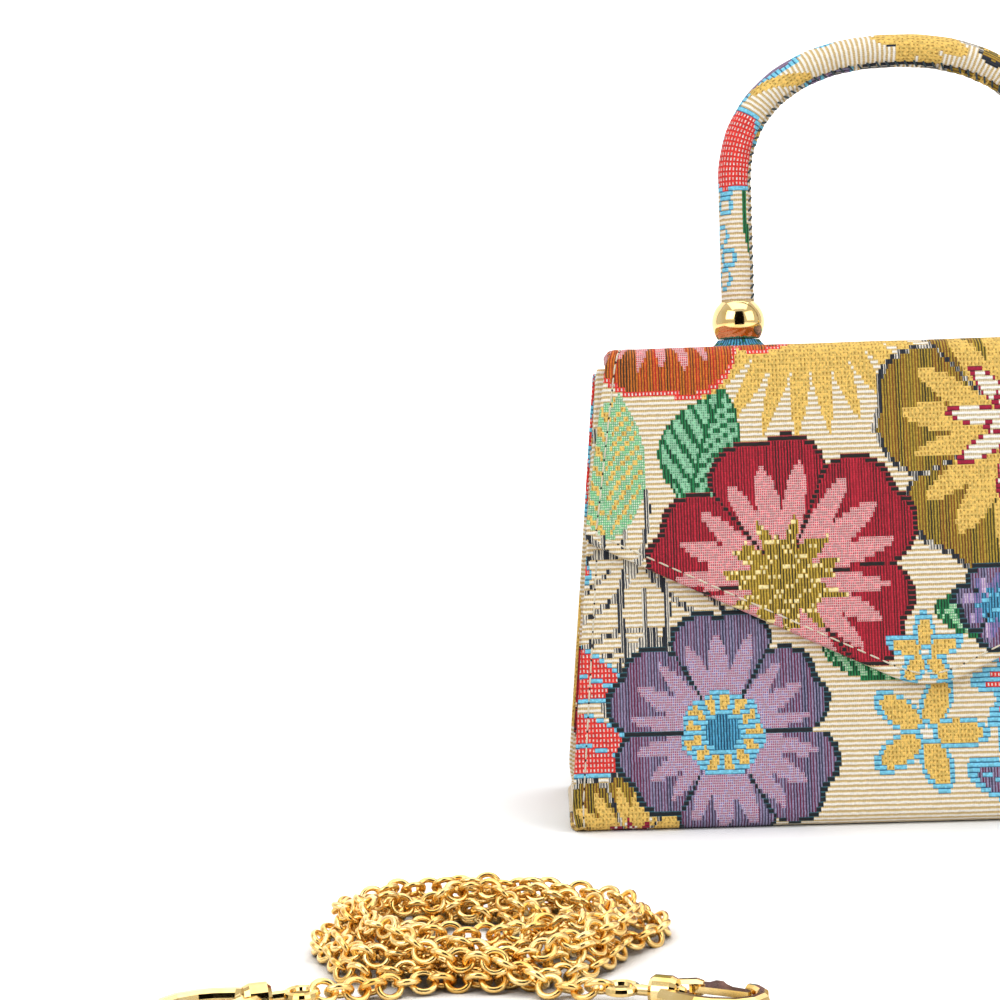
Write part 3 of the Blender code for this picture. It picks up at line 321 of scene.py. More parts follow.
@dataclass(frozen=True)
class PlainCloth:
    """Plain-woven lining or sewing cloth: fine over-and-under threads, matt with a faint bloom."""

    name: str
    warp: str
    weft: str
    thread_mm: float = 0.42

    def material(self) -> bpy.types.Material:
        """Makes the cloth; its checks are drawn at a thread spacing coarse enough to show."""
        made, tree = blank_material(self.name)
        place = wire(tree, "TexCoord", output="Object")
        parts = wire(tree, "SeparateXYZ", {0: place}, "X")
        height = tree.nodes[-1].outputs["Z"]
        depth = tree.nodes[-1].outputs["Y"]
        along = wire(tree, "Math", {0: parts, 1: depth}, operation="ADD")
        across_wave = wire(tree, "Math", {0: along, 1: math.pi / (self.thread_mm * MM)}, operation="MULTIPLY")
        up_wave = wire(tree, "Math", {0: height, 1: math.pi / (self.thread_mm * MM)}, operation="MULTIPLY")
        a = wire(tree, "Math", {0: across_wave}, operation="SINE")
        b = wire(tree, "Math", {0: up_wave}, operation="SINE")
        check = wire(tree, "Math", {0: a, 1: b}, operation="MULTIPLY")
        over = wire(tree, "MapRange", {0: check, 1: -0.35, 2: 0.35, 3: 0.0, 4: 1.0}, interpolation_type="SMOOTHSTEP")
        slub = wire(tree, "TexNoise", {"Vector": place, "Scale": 420.0, "Detail": 4.0})
        threads = wire(tree, "Mix", {0: over, 6: linear(self.warp), 7: linear(self.weft)}, 2, data_type="RGBA")
        shade = wire(tree, "MapRange", {0: slub, 1: 0.25, 2: 0.75, 3: 0.82, 4: 1.06})
        colour = wire(tree, "Mix", {0: 1.0, 6: threads, 7: shade}, 2, data_type="RGBA", blend_type="MULTIPLY")
        bump = wire(tree, "Bump", {"Strength": 0.5, "Distance": 0.12 * MM, "Height": over})
        shader = wire(tree, "BsdfPrincipled", {"Base Color": colour, "Roughness": 0.8, "Sheen Weight": 0.15, "Sheen Roughness": 0.5, "Normal": bump})
        finish_surface(tree, shader)
        return made


@dataclass(frozen=True)
class GreyBoard:
    """Pressed grey board from waste paper: matt, fibrous and flecked."""

    name: str = "grey_board_pressed"
    colour: str = "8C8478"
    fleck: str = "6B645A"
    fibre_mm: float = 0.5

    def material(self) -> bpy.types.Material:
        """Makes the board, with flecks of fibre."""
        made, tree = blank_material(self.name)
        place = wire(tree, "TexCoord", output="Object")
        fibre = wire(tree, "TexNoise", {"Vector": place, "Scale": 1 / (self.fibre_mm * MM), "Detail": 6.0, "Roughness": 0.7})
        fleck = wire(tree, "MapRange", {0: fibre, 1: 0.52, 2: 0.66, 3: 0.0, 4: 1.0})
        colour = wire(tree, "Mix", {0: fleck, 6: linear(self.colour), 7: linear(self.fleck)}, 2, data_type="RGBA")
        bump = wire(tree, "Bump", {"Strength": 0.3, "Distance": 0.1 * MM, "Height": fibre})
        shader = wire(tree, "BsdfPrincipled", {"Base Color": colour, "Roughness": 0.92, "Normal": bump})
        finish_surface(tree, shader)
        return made


PALE_GOLD = PlatedMetal("zinc_pale_gold_plated_polished", "EBCF93", "D9B468", 0.07)
CHAIN_GOLD = PlatedMetal("iron_wire_gold_plated_tumbled", "F8D994", "E6B45C", 0.19)
SNAP_BRASS = PlatedMetal("brass_stamped_lacquered", "D3B06A", "A98643", 0.22)
STEEL = PlatedMetal("steel_nickel_plated_turned", "B9B9B6", "98989A", 0.28)


# ---------------------------------------------------------------- studio


@dataclass
class Studio:
    """White sweep, soft boxes and the camera, set as in the photograph."""

    camera_at: tuple[float, float, float] = (-108.0, -551.6, 113.9)
    yaw: float = 1.41
    pitch: float = 1.97
    roll: float = 1.87
    lens: float = 65.33
    floor_size: float = 6000.0
    paper_gain: float = 1.85
    painted_shadow_mm: float = 45.0
    wall_y: float = 1500.0
    wall_height: float = 2600.0
    sweep_radius: float = 500.0
    card_behind: float = 140.0
    card_span: tuple[float, float] = (-200.0, 330.0)
    card_height: float = 900.0

    def build(self) -> None:
        """Makes the camera, the world, the sweep and the lamps."""
        self.camera()
        self.world()
        self.sweep()
        self.lamp("key_softbox_left", (-620, -620, 640), (-10, 0, 60), (620, 620), 3.9)
        self.lamp("fill_softbox_right", (640, -560, 520), (0, 0, 80), (620, 620), 2.6)
        self.lamp("top_softbox", (0, -40, 980), (0, 0, 60), (900, 900), 4.0)
        self.dark_card()

    def camera(self) -> None:
        """Makes the camera at the photograph's place, angle and lens."""
        a, p, r = (math.radians(v) for v in (self.yaw, self.pitch, self.roll))
        right = Vector((math.cos(a), math.sin(a), 0))
        up = Vector((-math.sin(a) * math.sin(p), math.cos(a) * math.sin(p), math.cos(p)))
        look = Vector((-math.sin(a) * math.cos(p), math.cos(a) * math.cos(p), -math.sin(p)))
        right, up = math.cos(r) * right - math.sin(r) * up, math.sin(r) * right + math.cos(r) * up
        turn = Matrix((right, up, -look)).transposed().to_4x4()
        data = bpy.data.cameras.new("camera")
        data.lens, data.sensor_width, data.sensor_fit = self.lens, 36.0, "HORIZONTAL"
        data.clip_start, data.clip_end = 0.02, 50.0
        camera = bpy.data.objects.new("camera", data)
        camera.matrix_world = Matrix.Translation(Vector(self.camera_at) * MM) @ turn
        bpy.context.scene.collection.objects.link(camera)
        bpy.context.scene.camera = camera

    def world(self) -> None:
        """Makes an even pale surround, which the camera and mirrors see as white."""
        world = bpy.data.worlds.new("white_surround")
        bpy.context.scene.world = world
        world.use_nodes = True
        tree = world.node_tree
        tree.nodes.clear()
        wire(tree, "LightPath")
        path = tree.nodes[-1]
        seen = wire(tree, "Math", {0: path.outputs["Is Camera Ray"], 1: path.outputs["Is Transmission Ray"]}, operation="MAXIMUM")
        soft = wire(tree, "Background", {"Color": linear("F4F6FA"), "Strength": 0.38})
        mirrored = wire(tree, "Background", {"Color": (1, 1, 1, 1), "Strength": 0.8})
        white = wire(tree, "Background", {"Color": (1, 1, 1, 1), "Strength": 1.0})
        lit = wire(tree, "MixShader", {0: path.outputs["Is Glossy Ray"], 1: soft, 2: mirrored})
        wire(tree, "OutputWorld", {"Surface": wire(tree, "MixShader", {0: seen, 1: lit, 2: white})})

    def sweep(self) -> None:
        """Makes the floor and the wall behind it in one curved sheet."""
        half, radius, steps = self.floor_size / 2, self.sweep_radius, 16
        line = [(-half, 0.0), (self.wall_y - radius, 0.0)]
        for i in range(1, steps + 1):
            a = math.pi / 2 * i / steps
            line.append((self.wall_y - radius + radius * math.sin(a), radius - radius * math.cos(a)))
        line.append((self.wall_y, self.wall_height))
        points = [(x, y, z) for y, z in line for x in (-half, half)]
        faces = [(2 * i, 2 * i + 1, 2 * i + 3, 2 * i + 2) for i in range(len(line) - 1)]
        floor = new_piece("sweep", np.array(points), faces, self.paper(), "")

    def paper(self) -> bpy.types.Material:
        """Matt white background paper: it takes the lamps' soft shadows and a painted shadow close to whatever stands
        on it, and a camera or mirror sees it lit to white.
        """
        made, tree = blank_material("background_paper_coated_white")
        place = wire(tree, "TexCoord", output="Object")
        tooth = wire(tree, "TexNoise", {"Vector": place, "Scale": 40.0, "Detail": 0.0})
        wire(tree, "LightPath")
        path = tree.nodes[-1]
        seen = wire(tree, "Math", {0: path.outputs["Is Camera Ray"], 1: path.outputs["Is Glossy Ray"]}, operation="MAXIMUM")
        tone = wire(tree, "Mix", {0: tooth, 6: linear("E5E5E5"), 7: linear("E2E2E1")}, 2, data_type="RGBA")
        bright = wire(tree, "VectorMath", {0: tone, 1: (self.paper_gain,) * 3}, operation="MULTIPLY")
        # Painted shadow: where ambient occlusion finds something near, the paper that the camera and mirrors see is
        # darkened.
        open_sky = wire(tree, "AmbientOcclusion", {"Distance": self.painted_shadow_mm * MM}, "AO", samples=1)
        painted_shadow = wire(tree, "MapRange", {0: open_sky, 1: 0.45, 2: 0.94, 3: 0.12, 4: 1.0}, interpolation_type="SMOOTHSTEP")
        under = wire(tree, "Mix", {0: 1.0, 6: bright, 7: painted_shadow}, 2, data_type="RGBA", blend_type="MULTIPLY")
        shown = wire(tree, "Mix", {0: seen, 6: tone, 7: under}, 2, data_type="RGBA")
        away = wire(tree, "VectorMath", {0: place}, "Value", operation="LENGTH")
        far = wire(tree, "MapRange", {0: away, 1: 0.3, 2: 1.0, 3: 0.0, 4: 1.0}, interpolation_type="SMOOTHSTEP")
        glow = wire(tree, "Emission", {"Color": (1, 1, 1, 1), "Strength": wire(tree, "Math", {0: seen, 1: far}, operation="MULTIPLY")})
        finish_surface(tree, wire(tree, "AddShader", {0: wire(tree, "BsdfDiffuse", {"Color": shown}), 1: glow}))
        return made

    def lamp(self, name: str, at: Sequence[float], aim: Sequence[float], size: tuple[float, float], power: float) -> None:
        """Makes one rectangular soft box.

        Args:
            name: the lamp's name.
            at: where it stands.
            aim: the point that it faces.
            size: its width and height.
            power: its power in watts.
        """
        data = bpy.data.lights.new(name, "AREA")
        data.shape, data.size, data.size_y = "RECTANGLE", size[0] * MM, size[1] * MM
        data.energy = power
        made = bpy.data.objects.new(name, data)
        made.location = Vector(at) * MM
        made.rotation_euler = (Vector(aim) - Vector(at)).to_track_quat("-Z", "Y").to_euler()
        bpy.context.scene.collection.objects.link(made)

    def dark_card(self) -> None:
        """Makes a dark sheet behind the camera that stands for the unlit room there: the camera, diffuse light and
        shadows never meet it, and polished metal shows it as a painted dark reflection.
        """
        made, tree = blank_material("dark_reflection_card")
        place = wire(tree, "TexCoord", output="Object")
        pile = wire(tree, "TexNoise", {"Vector": place, "Scale": 300.0})
        shade = wire(tree, "Mix", {0: pile, 6: linear("0E0D0C"), 7: linear("1C1A18")}, 2, data_type="RGBA")
        finish_surface(tree, wire(tree, "BsdfDiffuse", {"Color": shade}))
        # The sheet's near-black colour is painted dark reflection, not a surface that is seen.
        left, right = (self.camera_at[0] + x for x in self.card_span)
        y, top = self.camera_at[1] - self.card_behind, self.card_height
        points = [(left, y, 0), (right, y, 0), (right, y, top), (left, y, top)]
        card = new_piece("dark_card", np.array(points), [(0, 1, 2, 3)], made, "")
        card.visible_camera = card.visible_diffuse = card.visible_shadow = card.visible_transmission = False


# ---------------------------------------------------------------- chain strap


@dataclass(frozen=True)
class ClaspPlace:
    """Where one lobster clasp lies, with the names of its pieces."""

    end: str
    x: float
    y: float
    angle: float
    height: float = 3.4

    def matrix(self) -> Matrix:
        """From the clasp's own axes, X along it, to the bag's, in millimetres."""
        return Matrix.Translation((self.x, self.y, self.height)) @ Matrix.Rotation(math.radians(self.angle), 4, "Z")

    def point(self, along: float) -> np.ndarray:
        """A point on the clasp's axis."""
        return np.array(self.matrix() @ Vector((along, 0, 0)))


@dataclass
class ChainStrap:
    """The strap of round links, lying in a loose heap between its two clasps."""

    first: ClaspPlace
    last: ClaspPlace
    length: float = 1150.0
    link_width: float = 6.1
    link_wire: float = 1.4
    pitch: float = 3.6
    centre: tuple[float, float] = (-126.0, -150.0)
    half_width: float = 43.5
    half_depth: float = 36.5
    pile: float = 14.0
    eye_reach: float = 6.2
    eye_radius: float = 3.0
    laid_share: float = 0.985
    link_stretch: float = 1.06
    link_narrowing: float = 0.95

    def wave(self, angle: np.ndarray) -> np.ndarray:
        """How far the heap's outline swells in a direction."""
        return 1 + 0.03 * np.sin(3 * angle + 0.8) + 0.02 * np.sin(5 * angle)

    def plan(self, turns: float) -> np.ndarray:
        """The route seen from above, from one eye through all its loops to the other eye."""
        behind = -self.eye_reach - self.eye_radius - 0.5
        start, lead = self.first.point(behind), self.first.point(behind - 5)
        end, tail = self.last.point(behind), self.last.point(behind - 5)
        bearing = [math.atan2((p[1] - self.centre[1]) / self.half_depth, (p[0] - self.centre[0]) / self.half_width) for p in (lead, tail)]
        whole = 2 * math.pi * (math.floor(turns) + ((bearing[1] - bearing[0]) / (2 * math.pi)) % 1.0)
        t = np.linspace(0, 1, int(90 * turns))
        angle = bearing[0] + whole * t
        share = np.interp(t, [0, 0.03, 0.2, 0.4, 0.55, 0.72, 0.88, 0.97, 1], [0.86, 0.9, 0.78, 0.36, 0.62, 0.86, 0.42, 0.66, 0.86])
        share = share + 0.055 * np.sin(3.7 * angle) + 0.035 * np.sin(6.1 * angle + 1.0)
        share = np.clip(share, 0.12, 0.93)
        wave = self.wave(angle)
        x = self.centre[0] + self.half_width * wave * share * np.cos(angle) + 3.5 * np.sin(1.7 * angle) * (1 - share)
        y = self.centre[1] + self.half_depth * wave * share * np.sin(angle) + 3.5 * np.cos(1.3 * angle) * (1 - share)
        loops = np.stack([x, y], 1)[4:-4]
        return smooth_line(np.concatenate([[start[:2], lead[:2]], loops[::6], [loops[-1]], [tail[:2], end[:2]]]), 1.2)

    def route(self) -> np.ndarray:
        """The chain's centre line, each loop lying on the ground or on the loops under it."""
        line, wanted = None, self.length * self.laid_share
        for turns in np.arange(4.2, 12.0, 0.25):
            trial = self.plan(turns)
            if line is None or abs(self.run(trial) - wanted) < abs(self.run(line) - wanted):
                line = trial
        return np.column_stack([line, self.drop(line)])

    @staticmethod
    def run(line: np.ndarray) -> float:
        """The length of a line."""
        return float(np.linalg.norm(np.diff(line, axis=0), axis=1).sum())

    def drop(self, line: np.ndarray) -> np.ndarray:
        """Heights of the route's points when the chain is laid down in order on what lies there already."""
        cell = 1.0
        low = line.min(0) - 10
        size = np.ceil((line.max(0) + 10 - low) / cell).astype(int)
        ground = np.zeros(size)
        behind = 7
        gx, gy = np.meshgrid(np.arange(size[0]), np.arange(size[1]), indexing="ij")
        heights = np.zeros(len(line))
        half = self.link_width * 0.42

        def near(place: np.ndarray, reach: float) -> tuple[tuple[slice, ...], np.ndarray]:
            """The cells about a place of the route, and which of them lie within reach of it."""
            at = (place - low) / cell
            window = tuple(slice(int(c - 3), int(c + 4)) for c in at)
            return window, (gx[window] - at[0]) ** 2 + (gy[window] - at[1]) ** 2 < (reach / cell) ** 2

        # A link sinks a little between those under it, and raises the ground only when the chain has moved on.
        for i, point in enumerate(line):
            window, close = near(point, 2.5)
            heights[i] = half + 0.78 * ground[window][close].max()
            if i >= behind:
                window, close = near(line[i - behind], 2.0)
                patch = ground[window]
                patch[close] = np.maximum(patch[close], heights[i - behind] + half * 0.62)
        out = np.hypot((line[:, 0] - self.centre[0]) / self.half_width, (line[:, 1] - self.centre[1]) / self.half_depth)
        heights = np.minimum(heights, half + np.maximum(0.0, (self.pile - 0.5) * (1 - np.minimum(out, 1.0) ** 2.6)))
        kernel = np.exp(-0.5 * (np.arange(-6, 7) / 2.6) ** 2)
        padded = np.pad(heights, 6, mode="edge")
        heights = np.convolve(padded, kernel / kernel.sum(), mode="valid")
        heights[:4], heights[-4:] = self.first.height, self.last.height
        return heights

    def build(self, gold: bpy.types.Material) -> bpy.types.Object:
        line = even_line(self.route(), 1.2)
        run = run_along(line)
        count = int(round(run[-1] / self.pitch))
        marks = np.linspace(self.pitch * 0.3, run[-1] - self.pitch * 0.3, count)
        centres = places_at(marks, run, line)
        along = units(np.gradient(centres, axis=0))
        rng = np.random.default_rng(7)
        links = Form()
        for i, (centre, way) in enumerate(zip(centres, along)):
            tilt = (0.78 if i % 2 else -0.78) + rng.normal(0, 0.22)
            loose = 0.0 if i in (0, count - 1) else 0.28
            self.link(links, centre + rng.normal(0, loose, 3) * (1, 1, 0.6), way, tilt)
        joined = new_piece("chain_links", np.concatenate(links.points), links.faces, gold, "bag")
        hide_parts("chain_heap", "chain_tail_a", "chain_tail_b")
        LOG.info("chain: %d links, %.0f mm", count, self.run(line))
        return joined

    def link(self, links: Form, centre: np.ndarray, way: np.ndarray, tilt: float) -> None:
        """Adds one link: a ring of round wire, a little longer than it is wide."""
        around, section = 20, 8
        side = np.cross(way, (0, 0, 1.0))
        side /= np.linalg.norm(side)
        top = np.cross(side, way)
        side = side * math.cos(tilt) + top * math.sin(tilt)
        top = np.cross(side, way)
        a = 2 * math.pi * np.arange(around) / around
        b = 2 * math.pi * np.arange(section) / section
        radius, half = (self.link_width - self.link_wire) / 2, self.link_wire / 2
        out = np.cos(a)[:, None] * way * self.link_stretch + np.sin(a)[:, None] * side * self.link_narrowing
        ring = centre + out[:, None] * (radius + half * np.cos(b))[None, :, None] + top * (half * np.sin(b))[None, :, None]
        links.add(ring.reshape(-1, 3), quads(around, section, True, True, flipped=True))


# ---------------------------------------------------------------- tapestry cloth


@dataclass(frozen=True)
class Binding:
    """How the yarns cross in one area: three yarns, and the shares of five bindings, of which floats take the rest."""

    top: str
    under: str
    third: str
    rib: float = 0.0
    line: float = 0.0
    mesh: float = 0.0
    dot: float = 0.0


class Yarn(Enum):
    """The coloured areas of the tapestry."""

    GROUND = Binding("F9F3E6", "E4C68A", "C09A5C", rib=1.0)
    CRIMSON = Binding("C92339", "220509", "7A0F20", line=1.0)
    ROSE = Binding("F3C9C6", "C4253C", "D64556", mesh=1.0)
    BLACK = Binding("15110F", "A62C36", "3A1216")
    STAMEN = Binding("D3AE3E", "221B08", "6A5514", line=1.0)
    FLECK = Binding("FBE7A6", "C79A3E", "E9C46A")
    PURPLE = Binding("9891B2", "66163E", "22223F", line=1.0)
    LILAC = Binding("D8C4D4", "A3416F", "77689F", mesh=1.0)
    MAUVE = Binding("A183BC", "46618F", "E7CFE2", line=1.0)
    NAVY = Binding("0E151C", "2F5F6B", "16232C")
    SKY = Binding("7CD0EC", "2B6C94", "4FA6CF")
    TEAL = Binding("55AFD6", "0F3654", "14486B", line=1.0)
    SUN = Binding("F5CC6B", "B07A22", "E9BE62", dot=1.0)
    OLIVE = Binding("BC9C34", "1F1B0A", "7E4A1A", line=1.0)
    MINT = Binding("55B478", "E2F3D6", "A9DBA6", mesh=1.0)
    LEAF = Binding("A9DDB8", "4E9C6E", "7CC397", mesh=1.0)
    PINE = Binding("1C854C", "081B11", "0E4A2A", line=1.0)
    ORANGE = Binding("DB7A22", "3A1A0C", "C4201F", line=1.0)
    CORAL = Binding("E8352E", "FFF9F2", "F7A79B", dot=1.0)
    SLATE = Binding("262C38", "F4EBDA", "11151C", line=1.0)
    WINE = Binding("A5173A", "5A1126", "D2475F")
    CREAM = Binding("FEFBF4", "EBD9B2", "CBB078", rib=1.0)


YARNS = list(Yarn)

# The yarns of flowers and leaves that come back: a flower's rim, heart, outline, disc and flecks; a leaf's light,
# dark and outline.
CRIMSON_FLOWER = (Yarn.CRIMSON, Yarn.ROSE, Yarn.BLACK, Yarn.STAMEN, Yarn.FLECK)
PURPLE_FLOWER = (Yarn.PURPLE, Yarn.LILAC, Yarn.NAVY, Yarn.TEAL, Yarn.SKY)
OLIVE_FLOWER = (Yarn.OLIVE, Yarn.SUN, Yarn.SLATE, Yarn.WINE, Yarn.CREAM)
CORAL_FLOWER = (Yarn.CORAL, Yarn.CREAM, Yarn.SKY, Yarn.SUN, Yarn.ORANGE)
GOLDEN_LEAF = (Yarn.MINT, Yarn.SUN, Yarn.MINT)
GREEN_LEAF = (Yarn.MINT, Yarn.PINE, Yarn.PINE)
CORAL_LEAF = (Yarn.CORAL, Yarn.CORAL, Yarn.SKY)


def mark(codes: np.ndarray, where: np.ndarray, yarn: Yarn) -> None:
    """Gives some cells a yarn."""
    codes[where] = YARNS.index(yarn)


def around_motif(
    u: np.ndarray, v: np.ndarray, at: tuple[float, float], turn: float
) -> tuple[np.ndarray, np.ndarray]:
    """Distances of cells from a motif's middle, and their bearings from where it is turned to, in radians."""
    x, y = u - at[0], v - at[1]
    return np.hypot(x, y), np.arctan2(y, x) - math.radians(turn)


def along_motif(
    u: np.ndarray, v: np.ndarray, at: tuple[float, float], turn: float
) -> tuple[np.ndarray, np.ndarray]:
    """Places of cells along and beside a motif that is turned by an angle in degrees."""
    a, x, y = math.radians(turn), u - at[0], v - at[1]
    return x * math.cos(a) + y * math.sin(a), -x * math.sin(a) + y * math.cos(a)


@dataclass(frozen=True)
class Blossom:
    """An open flower of broad petals: a dark rim feathered into a light heart, outlined in dark floats."""

    at: tuple[float, float]
    radius: float
    petals: int
    turn: float
    rim: Yarn
    heart: Yarn
    outline: Yarn
    disc: Yarn
    fleck: Yarn
    disc_share: float = 0.3
    streaks: int = 3
    rays: Yarn | None = None

    def paint(self, u: np.ndarray, v: np.ndarray, codes: np.ndarray) -> None:
        """Marks the cells at (u, v) that this flower covers."""
        r, bearing = around_motif(u, v, self.at, self.turn)
        width = 2 * math.pi / self.petals
        number = np.floor(bearing / width + 0.5)
        s = (bearing - number * width) / (width / 2)
        size = 1 + 0.07 * np.sin(number * 2.4 + self.turn) + 0.035 * np.sin(bearing * 3 + 1.0)
        lobe = self.radius * size * (1 - 0.2 * np.abs(s) ** 3.4 - 0.05 * np.exp(-((s / 0.2) ** 2)))
        inside = r < lobe
        feather = np.abs(((s + 1) * self.streaks / 2 + 0.1 * np.sin(5 * number)) % 1.0 - 0.5) * 2
        rim_from = lobe * (0.84 - 0.36 * feather ** (1.5 + 0.4 * np.sin(3 * number)) - 0.10 * np.abs(s) ** 6)
        disc = self.radius * self.disc_share * (1 + 0.22 * np.sin(11 * bearing) + 0.14 * np.sin(19 * bearing + 1))
        edge_gap = r * np.sin(np.clip((1 - np.abs(s)) * width / 2, 0, math.pi / 2))
        mark(codes, inside, self.heart)
        mark(codes, inside & (r > rim_from), self.rim)
        mark(codes, (np.abs(r - lobe) < 0.85) | (inside & (edge_gap < 0.5) & (r > disc * 0.95)), self.outline)
        if self.rays is not None:
            disc = self.radius * self.disc_share * (1 + 0.05 * np.sin(7 * bearing))
            mark(codes, r < disc, self.fleck)
            mark(codes, (np.abs(r - 0.73 * disc) < 0.19 * disc) & (np.cos(bearing * 13) > -0.2), self.rays)
            mark(codes, r < 0.42 * disc, self.disc)
            return
        mark(codes, r < disc, self.disc)
        grain = np.sin(u * 2.1 + v * 0.4) * np.sin(v * 1.55 + np.floor(u / 2.0) * 2.4)
        mark(codes, (r < disc * 1.05) & (grain > 0.45), self.fleck)


@dataclass(frozen=True)
class Leaf:
    """A pointed leaf, dark on one side of its midrib and ribbed light on the other."""

    at: tuple[float, float]
    length: float
    width: float
    turn: float
    light: Yarn = Yarn.LEAF
    dark: Yarn = Yarn.PINE
    outline: Yarn = Yarn.PINE

    def paint(self, u: np.ndarray, v: np.ndarray, codes: np.ndarray) -> None:
        """Marks the cells that the leaf covers."""
        along, side = along_motif(u, v, self.at, self.turn)
        t = np.clip(along / self.length, 0, 1)
        half = self.width / 2 * np.sin(math.pi * t**0.85) ** 0.8
        side = side - 0.06 * self.length * np.sin(math.pi * t)
        inside = (along > 0) & (along < self.length) & (np.abs(side) < half)
        mark(codes, inside, self.light)
        veins = ((along - np.abs(side) * 0.9) % 5.4) < 2.1
        mark(codes, inside & veins & (side > 0.4), self.dark)
        mark(codes, inside & ((along - np.abs(side) * 1.4) % 4.8 < 1.7) & (side < -0.4), self.dark)
        mark(codes, inside & ((np.abs(side) < 0.55) | (half - np.abs(side) < 1.0)), self.outline)


@dataclass(frozen=True)
class Star:
    """A small flower of narrow petals, drawn round in light blue floats."""

    at: tuple[float, float]
    radius: float
    petals: int
    turn: float
    fill: Yarn = Yarn.SUN
    outline: Yarn = Yarn.SKY
    heart: Yarn = Yarn.CREAM

    def paint(self, u: np.ndarray, v: np.ndarray, codes: np.ndarray) -> None:
        """Marks the cells that the star covers."""
        r, bearing = around_motif(u, v, self.at, self.turn)
        width = 2 * math.pi / self.petals
        phi = bearing - np.floor(bearing / width + 0.5) * width
        along, side = r * np.cos(phi), r * np.sin(phi)
        grown = ((along - 0.6 * self.radius) / (0.46 * self.radius)) ** 2 + (side / (self.radius * 1.15 / self.petals)) ** 2
        rim = 1 + 3.0 / self.radius * 1.6
        mark(codes, (grown < rim**2) & (r > 0.1 * self.radius), self.outline)
        mark(codes, grown < 1, self.fill)
        mark(codes, r < 0.22 * self.radius, self.outline)
        mark(codes, r < 0.12 * self.radius, self.heart)


@dataclass(frozen=True)
class Burst:
    """A half-hidden flower of long toothed petals in one soft colour."""

    at: tuple[float, float]
    radius: float
    teeth: int
    turn: float
    fill: Yarn = Yarn.SUN

    def paint(self, u: np.ndarray, v: np.ndarray, codes: np.ndarray) -> None:
        """Marks the cells that the burst covers."""
        r, bearing = around_motif(u, v, self.at, self.turn)
        tooth = np.abs((bearing * self.teeth / (2 * math.pi)) % 1.0 - 0.5) * 2
        reach = self.radius * (0.5 + 0.5 * tooth**0.7 * (0.86 + 0.14 * np.sin(2.0 * bearing)))
        mark(codes, r < reach, self.fill)


@dataclass(frozen=True)
class LinePetals:
    """Petals drawn only by their outlines, over the plain ground."""

    at: tuple[float, float]
    radius: float
    petals: int
    turn: float
    spread: float = 360.0
    ink: Yarn = Yarn.SLATE
    fill: Yarn | None = None

    def paint(self, u: np.ndarray, v: np.ndarray, codes: np.ndarray) -> None:
        """Marks the cells that the outlines cross."""
        for i in range(self.petals):
            turn = self.turn + self.spread * i / self.petals
            a, out = math.radians(turn), 0.55 * self.radius
            middle = (self.at[0] + out * math.cos(a), self.at[1] + out * math.sin(a))
            along, side = along_motif(u, v, middle, turn)
            side = side + 0.004 * along**2
            grown = np.sqrt((along / (0.47 * self.radius)) ** 2 + (side / (0.2 * self.radius)) ** 2)
            if self.fill is not None:
                mark(codes, grown < 1, self.fill)
            mark(codes, np.abs(grown - 1) < 0.95 / (0.24 * self.radius), self.ink)
            mark(codes, (np.abs(side) < 0.62) & (grown < 0.75) & (along > -0.2 * self.radius), self.ink)


@dataclass(frozen=True)
class Beads:
    """A trail of small rings drawn in floats."""

    start: tuple[float, float]
    step: tuple[float, float]
    count: int
    radius: float = 2.3
    ink: Yarn = Yarn.SKY

    def paint(self, u: np.ndarray, v: np.ndarray, codes: np.ndarray) -> None:
        """Marks the cells that the rings cross."""
        for i in range(self.count):
            x = self.start[0] + self.step[0] * i + 1.6 * math.sin(2.1 * i)
            y = self.start[1] + self.step[1] * i + 1.2 * math.cos(1.7 * i)
            r = np.hypot(u - x, (v - y) * 0.9)
            mark(codes, np.abs(r - self.radius) < 0.55, self.ink)


@dataclass(frozen=True)
class Patch:
    """A broad block of one colour with rounded corners and a narrow edge in another."""

    at: tuple[float, float]
    size: tuple[float, float]
    fill: Yarn
    edge: Yarn
    turn: float = 0.0
    edge_mm: float = 1.7

    def paint(self, u: np.ndarray, v: np.ndarray, codes: np.ndarray) -> None:
        """Marks the cells that the block covers."""
        along, side = along_motif(u, v, self.at, self.turn)
        half = np.array(self.size) / 2 + 0.02 * self.size[1] * np.sin(along[..., None] * 0.3 + np.array([0.0, 1.2]))
        for grow, yarn in ((self.edge_mm, self.edge), (0.0, self.fill)):
            shape = np.abs(along / (half[..., 0] + grow)) ** 5 + np.abs(side / (half[..., 1] + grow)) ** 5
            mark(codes, shape < 1, yarn)


Motif = Blossom | Leaf | Star | Burst | LinePetals | Beads | Patch


